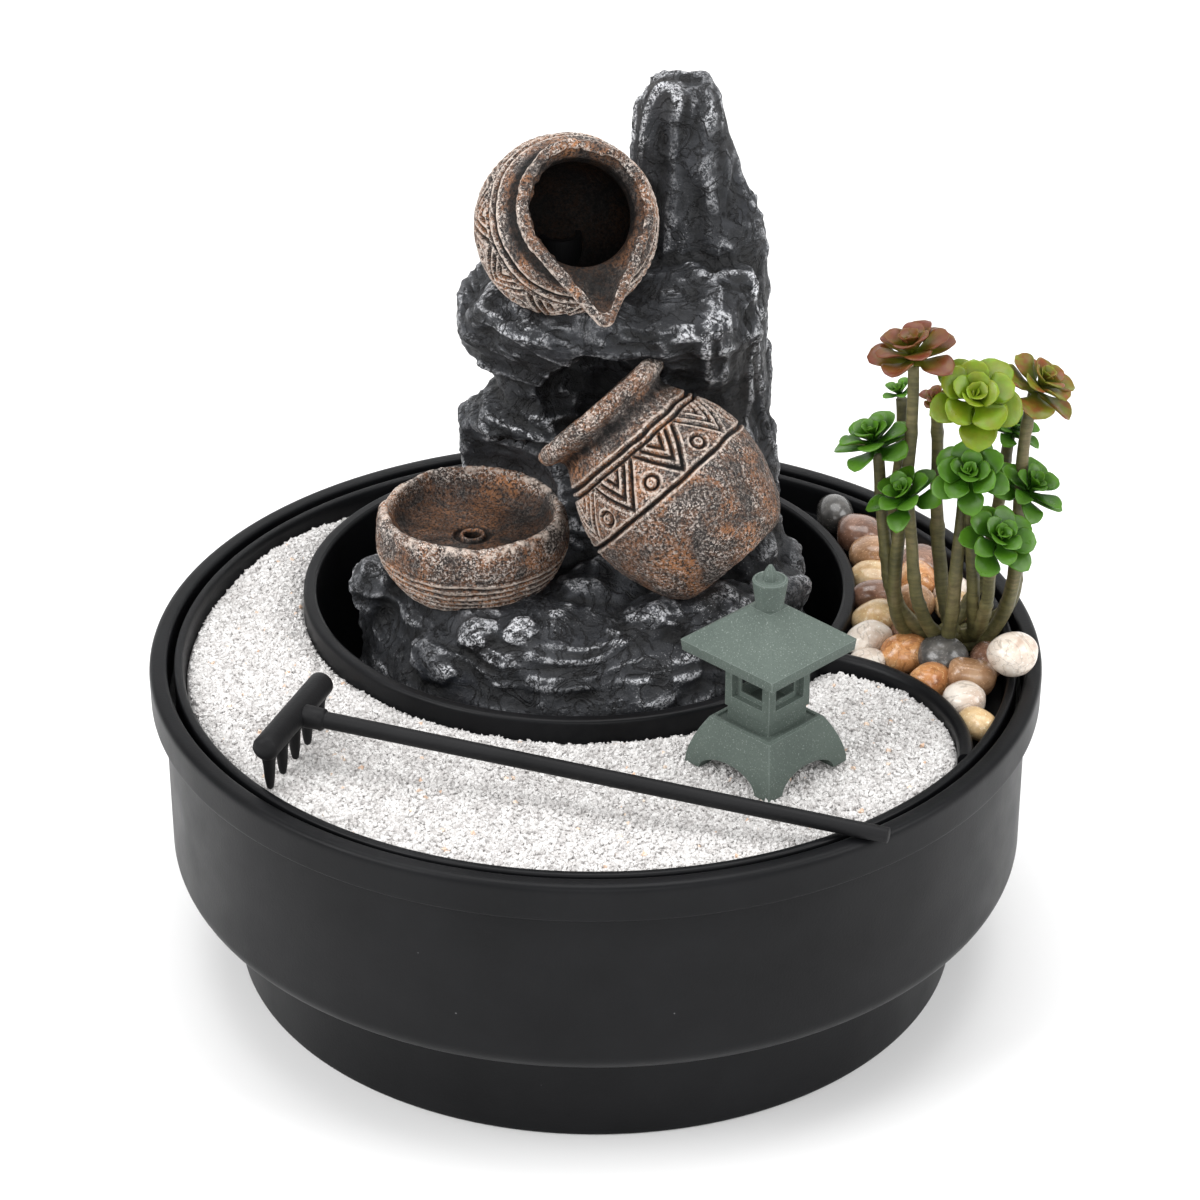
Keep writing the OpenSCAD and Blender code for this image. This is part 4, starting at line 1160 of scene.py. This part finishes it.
POTS_ON_ROCK = [  # place, turn, outline (r, z) cut from the rock, outline (r, z) that its relief stays out of
    (DRAIN_AT, (0, 0, 0),
     [(0, 1), (20, 1), (24, 9), (23.6, 18), (22, 19.5), (22, 34), (0, 34)],
     [(13, -2.2), (15, -1.4), (19, 0.6), (22, 4), (23.6, 8), (24, 12), (23.6, 18), (22.8, 19.9), (22.8, 24),
      (18, 30)]),
    (JAR_AT, JAR_TURN,
     [(0, -52.5), (14, -52.5), (22.6, -38), (23, -30), (21.4, -21), (15.4, -7), (19, -2), (18, 2), (13, 12),
      (0, 12)],
     [(14, -52.5), (18.6, -48), (22, -38), (23, -30), (21.4, -21), (17.6, -13), (15.4, -8), (16, -5.4),
      (18.6, -3.6), (18.8, -1), (18, 0.5)]),
    (JUG_AT, JUG_TURN,
     [(0, -20), (9, -20), (15.6, -16.6), (19.6, -10), (21.4, 0), (19.8, 8.4), (16, 14), (16, 20), (16, 34),
      (0, 34)],
     [(9, -20.6), (15.4, -16.4), (19.8, -9.6), (21.8, 0), (20.4, 8), (16.8, 13.6), (14.8, 16), (15.6, 19.4)]),
]
ROCK_TOP = 221.5


def room_for(outline, at, turn):
    """A turned body in a pot's place."""
    points, faces = turned(np.array(outline, float), 48)
    return place(points, at, turn), faces


def build_rock():
    """Simple bodies joined and hollowed, remeshed, then moved along their normals by layered relief."""
    cavity = moved(turned(rounded([(0, 36), (50, 36), (50, 70), (0, 70)], 0.4, 2), 64), *POOL)
    pump_room = slab_of([(-23, 21), (23, 21), (23, 69), (-23, 69)], 36, 84)
    pieces = [loft(COLUMN, 56, 2.8, 0.10, 61), loft(SLAB, 40, 2.8, 0.09, 62), loft(SHELF, 40, 2.2, 0.10, 63)]
    pieces += [boulder(*stone, 64 + i) for i, stone in enumerate(BOULDERS)]
    hollows = [cavity, pump_room] + [room_for(room, at, turn) for at, turn, room, _ in POTS_ON_ROCK]
    body = combined(loft(MOUND, 72, 2.0, 0.045, 60), *[("UNION", p) for p in pieces],
                    *[("DIFFERENCE", p) for p in hollows])
    points, normals, edges, faces = remeshed(body, 1.0)
    x, y, z = points.T

    # the hollow over the pump and the underside stay smooth
    hidden = (np.hypot(x - POOL[0], y - POOL[1]) < 50.8) & (z < 70.8)
    hidden |= (np.abs(x) < 23.8) & (np.abs(y - 45) < 24.8) & (z < 84.8)
    hidden |= z < 38.6
    # ripples on the base, upright flutes on the slab and the right side, level beds on the rest
    low = 1 - smoothstep(93, 103, z)
    fluted = np.maximum(smoothstep(172, 180, z), smoothstep(18, 30, x) * smoothstep(96, 112, z)) * (1 - low)
    bedded = (1 - low) * (1 - fluted)

    bent = points + 2.2 * np.stack([layered_noise(points / 19, s, 2) for s in (81, 82, 83)], -1)
    bx, by, bz = bent.T
    beds = ridge_noise(np.stack([bx / 24, by / 24, (bz + 0.25 * bx) / 5.2], -1), 84, 2) - 0.9
    slips = ridge_noise(np.stack([bx / 11, by / 11, (bz + 0.4 * bx) / 2.5], -1), 85, 1) - 0.6
    blocks = layered_noise(points / 13, 86, 3)
    flutes = ridge_noise(np.stack([bx / 7.5, by / 7.5, bz / 110], -1), 87, 1) - 0.6
    grooves = ridge_noise(np.stack([bx / 3.3, by / 3.3, bz / 40], -1), 88, 1) - 0.6
    bearing = np.arctan2(by - 33, bx + 4)
    flow = (np.hypot(bx + 4, by - 33) * 0.8 - bz) / 5.0 + 1.3 * layered_noise(points / 17, 89, 2)
    ripples = ridge_noise(np.stack([np.cos(bearing) * 2.2, np.sin(bearing) * 2.2, flow], -1), 90, 2) - 0.9
    lumps = layered_noise(points / 17, 91, 2)
    stipple = layered_noise(points / 2.2, 92, 1)

    shift = bedded * (1.5 * beds + 0.8 * slips + 1.7 * blocks) \
        + fluted * (2.3 * flutes + 0.9 * grooves + 1.3 * blocks) \
        + low * (1.3 * ripples + 1.9 * lumps) + 0.14 * stipple
    shift = np.where(hidden, 0, shift)
    points = points + normals * shift[:, None]
    points[:, 2] = np.minimum(points[:, 2], ROCK_TOP)
    edge = np.hypot(points[:, 0] - POOL[0], points[:, 1] - POOL[1])
    squeeze = np.where(points[:, 2] < 88, np.minimum(1, 66.0 / edge), 1)
    points[:, 0] = POOL[0] + (points[:, 0] - POOL[0]) * squeeze
    points[:, 1] = POOL[1] + (points[:, 1] - POOL[1]) * squeeze

    for at, turn, _, outline in POTS_ON_ROCK:
        points = clear_of(points, outline, at, turn)

    # a tone that is bright on what stands proud of its surroundings, near and far
    mean = points
    for _ in range(3):
        mean = neighbour_mean(mean, edges)
    fine = ((points - mean) * normals).sum(1)
    for _ in range(9):
        mean = neighbour_mean(mean, edges)
    coarse = ((points - mean) * normals).sum(1)
    # the term in the upward normal is a painted top light: surfaces that face up get a slightly brighter tone
    tone = 0.5 + 1.0 * fine + 0.40 * coarse + 0.04 * normals[:, 2]
    tone = 0.5 * tone + 0.5 * neighbour_mean(tone, edges)
    new_piece("rock_body", points, faces, "sculpture", ROCK, "rock", ["fountain_rock"],
              tone=np.clip(tone, 0, 1))


# ---------------------------------------------------------------- lantern and rake

LANTERN_AT = (42, -52, 82.6)


def square(half, z, corner=0.35, steps=3):
    """A square outline with small round corners, at a height."""
    out = []
    for k in range(4):
        for t in np.linspace(0, 90, steps + 1):
            a = math.radians(90 * k + t)
            cx, cy = ((1, 1), (-1, 1), (-1, -1), (1, -1))[k]
            out.append((cx * (half - corner) + corner * math.cos(a),
                        cy * (half - corner) + corner * math.sin(a), z))
    return out


def squares(*sections):
    """A closed body through square outlines (half width, z)."""
    rows = [square(*s) for s in sections]
    n, m = len(rows[0]), len(rows)
    points = np.array([p for row in rows for p in row])
    return points, capped_grid(m, n)


def turned_90(part):
    points = np.asarray(part[0])
    return np.stack([-points[:, 1], points[:, 0], points[:, 2]], -1), part[1]


def prism_y(outline, low=-30, high=30):
    """A bar along Y from an outline of (x, z)."""
    n = len(outline)
    points = [(x, low, z) for x, z in outline] + [(x, high, z) for x, z in outline]
    faces = [tuple(range(n)), tuple(range(2 * n - 1, n - 1, -1))]
    faces += [(i, n + i, n + (i + 1) % n, (i + 1) % n) for i in range(n)]
    return np.array(points), faces


def worn_edges(part, width=0.28, angle=24):
    """Softens the sharp edges of a body; returns points, faces and a tone that is 1 along those edges."""
    obj = raw_object(*part)
    bm = bmesh.new()
    bm.from_mesh(obj.data)
    bmesh.ops.remove_doubles(bm, verts=bm.verts, dist=0.005)
    bmesh.ops.recalc_face_normals(bm, faces=bm.faces)
    sharp = [e for e in bm.edges if len(e.link_faces) == 2 and e.calc_face_angle(0) > math.radians(angle)]
    made = bmesh.ops.bevel(bm, geom=sharp, offset=width, segments=2, profile=0.6, affect="EDGES",
                           clamp_overlap=True)
    bevelled = set(made["faces"])
    tone = [1.0 if all(f in bevelled for f in v.link_faces) else 0.0 for v in bm.verts]
    bm.verts.index_update()
    points = np.array([v.co for v in bm.verts])
    faces = [tuple(v.index for v in f.verts) for f in bm.faces]
    bm.free()
    discard(obj)
    return points, faces, tone


def lantern_piece(name, part, node):
    points, faces, tone = worn_edges(part)
    crisp(new_piece(name, place(points, LANTERN_AT, (0, 0, 45)), faces, "lantern", LANTERN, "lantern_plastic",
                    [node], tone=tone), 30)


def build_lantern():
    """Foot with four arches, light box with framed windows, hipped roof, cup and spike."""
    flare = [(14.2 - 4.2 * (z / 12.6) ** 1.75, z) for z in np.linspace(0, 12.6, 8)]
    skirt = squares((13.9, -0.1), *flare, (9.4, 13.0))
    arch = [(9.3 * math.cos(t), 4.5 * math.sin(t)) for t in np.linspace(0, math.pi, 19)]
    arch = prism_y([(9.3, -3)] + arch + [(-9.3, -3)])
    core = squares((9.0, -2), (8.6, 1), (6.6, 7.2))
    dish = squares((8.4, 12.4), (9.0, 14))
    base = combined(skirt, ("DIFFERENCE", arch), ("DIFFERENCE", turned_90(arch)), ("DIFFERENCE", core),
                    ("DIFFERENCE", dish))
    lantern_piece("lantern_foot", base, "lantern_base")

    box = squares((7.4, 16.2), (7.4, 32.2))
    frame_edge = [(-5.0, 19.2), (5.0, 19.2), (5.0, 29.8), (-5.0, 29.8)]
    recess = prism_y(frame_edge, -30, -5.6)
    recess_back = prism_y(frame_edge, 5.6, 30)
    window = prism_y([(-3.6, 20.4), (3.6, 20.4), (3.6, 28.6), (-3.6, 28.6)])
    neck = squares((6.9, 12.2), (6.9, 16.6))
    room = squares((5.0, 17.4), (5.0, 31))
    light = combined(box, ("UNION", neck), ("DIFFERENCE", room),
                     *[("DIFFERENCE", p) for q in (recess, recess_back, window) for p in (q, turned_90(q))])
    lantern_piece("lantern_windows", light, "lantern_light_box")

    roof = squares((14.9, 31.5), (15.2, 34.4), (3.4, 43.6))
    under_roof = squares((13, 30), (12.4, 32.6))
    lantern_piece("lantern_cap", combined(roof, ("DIFFERENCE", under_roof)), "lantern_roof")

    cup = turned(rounded([(0, 42.5), (3.3, 42.5), (3.4, 44.2), (4.3, 50.2), (4.35, 51, 0.3), (3.7, 51.3),
                          (3.3, 50.9), (2.2, 50.9), (0, 50.9)], 0.25, 3), 48)
    spike_rows = [(2.05, 50.6), (1.85, 52.2), (1.15, 53.9), (0.45, 54.9)]
    points = [(r * math.cos(k * math.pi / 3), r * math.sin(k * math.pi / 3), z)
              for r, z in spike_rows for k in range(6)]
    spike = np.array(points), capped_grid(4, 6)
    lantern_piece("lantern_knob", combined(cup, ("UNION", spike)), "lantern_finial")


def swept(path, radii, sides=16, ribs=None):
    """A rod along a path; ribs(share, angle) scales its radius."""
    path = np.asarray(path, float)
    steps = np.gradient(path, axis=0)
    steps /= np.linalg.norm(steps, axis=1)[:, None]
    side = np.cross(steps[0], (0.3, 0.2, 1.0) if abs(steps[0][2]) < 0.9 else (1.0, 0.2, 0.0))
    rows = []
    angle = np.arange(sides) * 2 * math.pi / sides
    for i, (p, d, r) in enumerate(zip(path, steps, radii)):
        side = side - d * (side @ d)
        side /= np.linalg.norm(side)
        across = np.cross(d, side)
        k = ribs(i / (len(path) - 1), angle)[:, None] if ribs else 1
        rows.append(p + r * k * (np.cos(angle)[:, None] * side + np.sin(angle)[:, None] * across))
    n = len(rows)
    points = np.vstack(rows)
    return points, capped_grid(n, sides)


def round_rod(start, end, radius_a, radius_b, sides=24, dome=0.6, rows=10):
    """A straight rod with rounded ends."""
    start, end = np.array(start, float), np.array(end, float)
    length = np.linalg.norm(end - start)
    t = np.linspace(0, math.pi / 2, 6)[:-1]
    a = [(dome * radius_a * (1 - math.cos(v)), radius_a * max(math.sin(v), 0.02)) for v in t]
    b = [(length - dome * radius_b * (1 - math.cos(v)), radius_b * max(math.sin(v), 0.02)) for v in t[::-1]]
    mid = [(d, radius_a + (radius_b - radius_a) * d / length)
           for d in np.linspace(dome * radius_a, length - dome * radius_b, rows)]
    run = a + mid + b
    path = [start + (end - start) * d / length for d, _ in run]
    return swept(path, [r for _, r in run], sides)


TINES = 5
TINE_ROWS = [(94.6, 2.5), (92.6, 2.25), (91.2, 1.75), (89.6, 1.55), (86, 1.3), (84, 1.05), (83.1, 0.85),
             (82.65, 0.5)]  # height, radius


def build_rake():
    """A bar with five tapering tines, and a stick in its socket that leans down to the lip."""
    along = np.array([math.cos(math.radians(69.5)), math.sin(math.radians(69.5)), 0])
    tail = np.array([-80.4, -68.4, 95.0])
    parts = [round_rod(tail, tail + along * 36, 3.25, 3.25, 28, 0.5)]
    for i in range(TINES):
        at = tail + along * (3.4 + i * 29.2 / (TINES - 1))
        parts.append(swept([(at[0], at[1], z) for z, _ in TINE_ROWS], [r for _, r in TINE_ROWS], 16))
    points, faces = join_parts(*parts)
    crisp(new_piece("rake_comb", points, faces, "rake", RAKE_PLASTIC, "rake_plastic", ["rake_head"]), 50)
    start, end = np.array([-73.7, -50.6, 95.0]), np.array([69.5, -95.2, 88.3])
    d = (end - start) / np.linalg.norm(end - start)
    socket = round_rod(start + d * 1.6, start + d * 8.4, 3.0, 2.7, 24, 0.4, 4)
    stick = round_rod(start + d * 2, end, 2.15, 1.95, 24, 0.25, 30)
    points, faces = join_parts(socket, stick)
    crisp(new_piece("rake_stick", points, faces, "rake", RAKE_PLASTIC, "rake_plastic", ["rake_handle"]), 50)


# ---------------------------------------------------------------- plant

PLANT = (94.5, 12.0)
ROSETTES = [  # name, centre, radius, tilt, turn, kind of leaf, leaf width as a share of its length
    ("red_left", (78.5, 2, 168), 10.6, 12, -60, "red", 0.74),
    ("lime_top", (94.1, -4, 158), 11, 40, 0, "lime", 0.80),
    ("red_right", (111.8, 8.4, 156), 9.6, 30, 60, "turning", 0.80),
    ("red_small", (86.1, 12, 150), 4.6, 25, -30, "red", 0.8),
    ("green_a", (70.3, 4, 142.5), 9.6, 20, -70, "green", 0.70),
    ("green_b", (77.9, -4, 131), 8.8, 30, -50, "green", 0.66),
    ("green_c", (93.5, -8, 139), 9.6, 42, -10, "green", 0.72),
    ("green_d", (110.5, 7, 127), 9.6, 32, 50, "green", 0.62),
    ("green_e", (101.4, -9.6, 121.4), 9.4, 40, 20, "green", 0.70),
    ("green_f", (107, 18, 139), 7, 20, 60, "green", 0.60),
    ("green_g", (77.6, 19.4, 148.2), 5, 20, -60, "green", 0.60),
]
LEAF_ROUNDS = [  # leaves, reach and lift as shares of the rosette's radius, rise in degrees
    (5, 1.14, -0.36, 8), (5, 0.98, -0.16, 27), (4, 0.72, 0.0, 48), (4, 0.48, 0.10, 66), (2, 0.28, 0.16, 82)]
SMALL_ROSETTE = 6  # below this radius the outermost round is left out


def leaf(length, width, droop, cup, pointed):
    """One thick spoon-shaped leaf along +X from the origin; returns points, faces and tone."""
    rows, sides = 15, 12
    t = np.linspace(0, 1, rows)
    open_out = smoothstep(0.12, 0.68, t)
    close = np.sqrt(np.maximum(1 - (np.maximum(t - 0.64, 0) / 0.36) ** (2.2 - 0.4 * pointed), 0))
    half = width * length / 2 * (0.24 + 0.76 * open_out) * np.maximum(close, 0.03)
    thick = length * 0.060 * (0.85 + 0.5 * (1 - t)) * np.maximum(close, 0.10)
    beta = np.arange(sides) * 2 * math.pi / sides
    c, s = np.cos(beta), np.sin(beta)
    x = np.repeat((t * length)[:, None], sides, 1)
    y = half[:, None] * c
    z = thick[:, None] * s + cup * (y / (width * length / 2)) ** 2 * length * 0.16 * (t ** 0.6)[:, None]
    z = z - droop * length * 0.18 * (t ** 2)[:, None] + 0.06 * length * np.sin(t * math.pi)[:, None]
    points = np.stack([x, y, z], -1).reshape(-1, 3)
    along_rim = 0.95 * (np.abs(c) ** 3)[None] * t[:, None] ** 0.5
    tone = np.clip(np.maximum(t[:, None] * 0.9, along_rim), 0, 1).ravel()
    return points, capped_grid(rows, sides), tone


def build_rosette(name, centre, radius, tilt, turn, kind, width, seed):
    """Rounds of leaves that rise and shorten towards the middle."""
    rng = np.random.default_rng(seed)
    rounds = LEAF_ROUNDS[1:] if radius < SMALL_ROSETTE else LEAF_ROUNDS
    points, faces, tones, first = [], [], [], 0
    spin = rng.uniform(0, 360)
    for k, (count, reach, lift, rise) in enumerate(rounds):
        for i in range(count):
            length = radius * reach * rng.uniform(0.90, 1.05)
            p, f, tone = leaf(length, width * rng.uniform(0.92, 1.08) * (1 + 0.05 * k),
                              rng.uniform(-0.25, 0.7), rng.uniform(0.5, 1.3),
                              1.0 if kind == "green" else 0.35)
            p[:, 0] += radius * 0.05
            yaw = spin + 360 * (i + 0.5 * (k % 2)) / count + rng.uniform(-9, 9)
            p = place(p, (0, 0, 0), (rng.uniform(-12, 12), 0, 0))
            p = place(p, (0, 0, 0), (0, -(rise + rng.uniform(-7, 7)), 0))
            p = place(p, (0, 0, radius * lift * 0.8), (0, 0, yaw))
            points.append(p)
            faces += [tuple(v + first for v in q) for q in f]
            tones.append(tone)
            first += len(p)
    points = place(place(np.vstack(points), (0, 0, 0), (tilt, 0, 0)), centre, (0, 0, turn))
    new_piece(f"rosette_{name}_leaves", points, faces, "plant", LEAVES[kind], LEAF_SLOTS[kind],
              [f"rosette_{name}"], tone=np.concatenate(tones))


def facing(tilt, turn):
    """The way a rosette looks."""
    t, u = math.radians(tilt), math.radians(turn)
    return np.array([math.sin(t) * math.sin(u), -math.sin(t) * math.cos(u), math.cos(t)])


def build_plant():
    """Every rosette on its own bent, ribbed stem, all from one foot with a peg."""
    stems = []
    rng = np.random.default_rng(7)
    for i, (name, centre, radius, tilt, turn, kind, width) in enumerate(ROSETTES):
        build_rosette(name, centre, radius, tilt, turn, kind, width, 100 + i)
        a = math.radians(i * 360 / len(ROSETTES) + 200)
        out = np.array([math.cos(a), math.sin(a), 0])
        foot = np.array([*PLANT, 80.3]) + 4.6 * out
        top = np.array(centre, float) - 0.34 * radius * facing(tilt, turn)
        away = np.array([centre[0] - PLANT[0], centre[1] - PLANT[1], 0])
        low = foot + 3 * out + 1.25 * away + (0, 0, 7)
        high = top - 0.5 * (top[2] - 80) * (0.35 * facing(tilt, turn) + (0, 0, 0.65))
        t = np.linspace(0, 1, 46)[:, None]
        path = (1 - t) ** 3 * foot + 3 * t * (1 - t) ** 2 * low + 3 * t * t * (1 - t) * high + t ** 3 * top
        path = path + 0.5 * layered_noise(path / 14, 120 + i, 2)[:, None] * (t * (1 - t) * 4)
        knots = sum(0.16 * np.exp(-((t[:, 0] - k) / 0.012) ** 2) for k in rng.uniform(0.12, 0.92, 5))
        radii = 2.0 * (1 - 0.28 * t[:, 0]) * (1 + knots)
        phase = rng.uniform(0, 6)
        stems.append(swept(path, radii, 14, lambda share, b, q=phase:
                           1 + 0.07 * np.sin(3 * b + q + 5 * share) + 0.05 * np.sin(7 * b - q + 9 * share)))
    hub = turned(rounded([(0, 78.3), (6.3, 78.3), (6.4, 80.4, 0.9), (3.4, 82.6, 1.4), (0, 83)], 0.6, 4), 40)
    peg = turned(rounded([(0, 69.4), (2.9, 69.4), (2.9, 79), (0, 79)], 0.3, 3), 24)
    points, faces = join_parts(moved(hub, *PLANT), moved(peg, *PLANT), *stems)
    new_piece("plant_stalks", points, faces, "plant", STEM, "stem", ["plant_stems"])


# ---------------------------------------------------------------- pebbles

GREY, BROWN, TAN, ORANGE, CREAM, WHITE = "grey", "brown", "tan", "orange", "cream", "white"
PEBBLE_COLORS = {
    GREY: ((0.035, 0.034, 0.034), (0.075, 0.072, 0.068), (0.15, 0.14, 0.13), 0.0),
    BROWN: ((0.10, 0.048, 0.030), (0.20, 0.105, 0.070), (0.34, 0.20, 0.14), 0.4),
    TAN: ((0.26, 0.13, 0.06), (0.42, 0.24, 0.13), (0.58, 0.38, 0.23), 0.3),
    ORANGE: ((0.36, 0.13, 0.045), (0.56, 0.26, 0.10), (0.72, 0.46, 0.24), 0.5),
    CREAM: ((0.46, 0.28, 0.12), (0.64, 0.45, 0.24), (0.78, 0.62, 0.40), 0.2),
    WHITE: ((0.50, 0.38, 0.30), (0.70, 0.61, 0.52), (0.84, 0.79, 0.72), 0.5),
}
PEBBLES = [  # x, y, radius, kind, colour
    (66, 76, 5, "dark", GREY), (90, -3.5, 5.6, "dark", GREY), (87.5, 48, 5.4, "dark", BROWN),
    (81.5, 10.5, 4.2, "dark", BROWN), (101, -3.5, 4.6, "dark", BROWN),
    (80, 0.5, 5, "warm", ORANGE), (96, -13, 5.2, "warm", TAN), (72, 64.5, 5.6, "warm", BROWN),
    (85.5, 37, 5.2, "warm", ORANGE), (84.5, 26, 5, "warm", TAN), (75.5, 52.5, 5.2, "warm", TAN),
    (85.5, -13.2, 4.6, "warm", ORANGE), (75, 30, 5, "warm", BROWN),
    (71.5, 7, 5, "pale", WHITE), (74, 18.5, 5.2, "pale", CREAM), (75, 41, 5, "pale", CREAM),
    (95.5, 34.5, 4.4, "pale", WHITE), (83.5, 58.5, 4, "pale", WHITE), (95.5, 25.3, 4.4, "pale", CREAM),
    (93.5, -24, 5, "pale", WHITE), (96, -34, 3.9, "pale", CREAM), (70, -2.5, 3.6, "pale", WHITE),
    (106, -17, 5.6, "pale", WHITE),
]


TOP_PEBBLE = (106, -17)  # this one rests on the others
FLOOR, ON_OTHERS = 78.0, 86.9


def build_pebbles():
    """Flattened, slightly squared stones, joined by kind and colour."""
    source = bmesh.new()
    bmesh.ops.create_icosphere(source, subdivisions=5, radius=1)
    ball = np.array([v.co for v in source.verts])
    ball_faces = [tuple(v.index for v in f.verts) for f in source.faces]
    source.free()
    groups = {}
    for i, (x, y, radius, kind, colour) in enumerate(PEBBLES):
        rng = np.random.default_rng(300 + i)
        height = 0.43 * radius * 2
        bulge = 0.20 * layered_noise(ball * 0.8, 310 + i, 1)
        dimple = 0.02 * layered_noise(ball * 2.2, 330 + i, 1)
        shape = ball * (1 + bulge + dimple)[:, None]
        shape = np.sign(shape) * np.abs(shape) ** 0.92
        shape = shape * (radius * rng.uniform(1.24, 1.42), radius * rng.uniform(1.0, 1.14), height * 1.08)
        bottom = ON_OTHERS if (x, y) == TOP_PEBBLE else FLOOR
        shape = place(shape, (0, 0, 0), (rng.uniform(-9, 9), rng.uniform(-9, 9), rng.uniform(0, 360)))
        shape = shape + (x, y, bottom - shape[:, 2].min())
        groups.setdefault((kind, colour), []).append((shape, ball_faces))
    told = set()
    for (kind, colour), parts in groups.items():
        points, faces = join_parts(*parts)
        dark, mid, light, veined = PEBBLE_COLORS[colour]
        new_piece(f"pebbles_{kind}_{colour}", points, faces, "tray",
                  pebble_material(f"pebble_{kind}_{colour}", dark, mid, light, veined), f"pebble_{kind}",
                  [] if kind in told else [f"pebbles_{kind}"])
        told.add(kind)


build_bowl()
build_tray()
build_sand()
build_pots()
build_rock()
build_lantern()
build_rake()
build_plant()
build_pebbles()
grains("sand_grains_lower", 20500, (0.52, 0.90), (-0.25, 0.25), SAND, 11)
grains("sand_grains_upper", 20500, (0.48, 0.86), (0.0, 0.70), SAND, 12)
grains("sand_grains_tan", 150, (0.55, 0.95), (0.1, 0.7), TAN_GRAINS, 13)
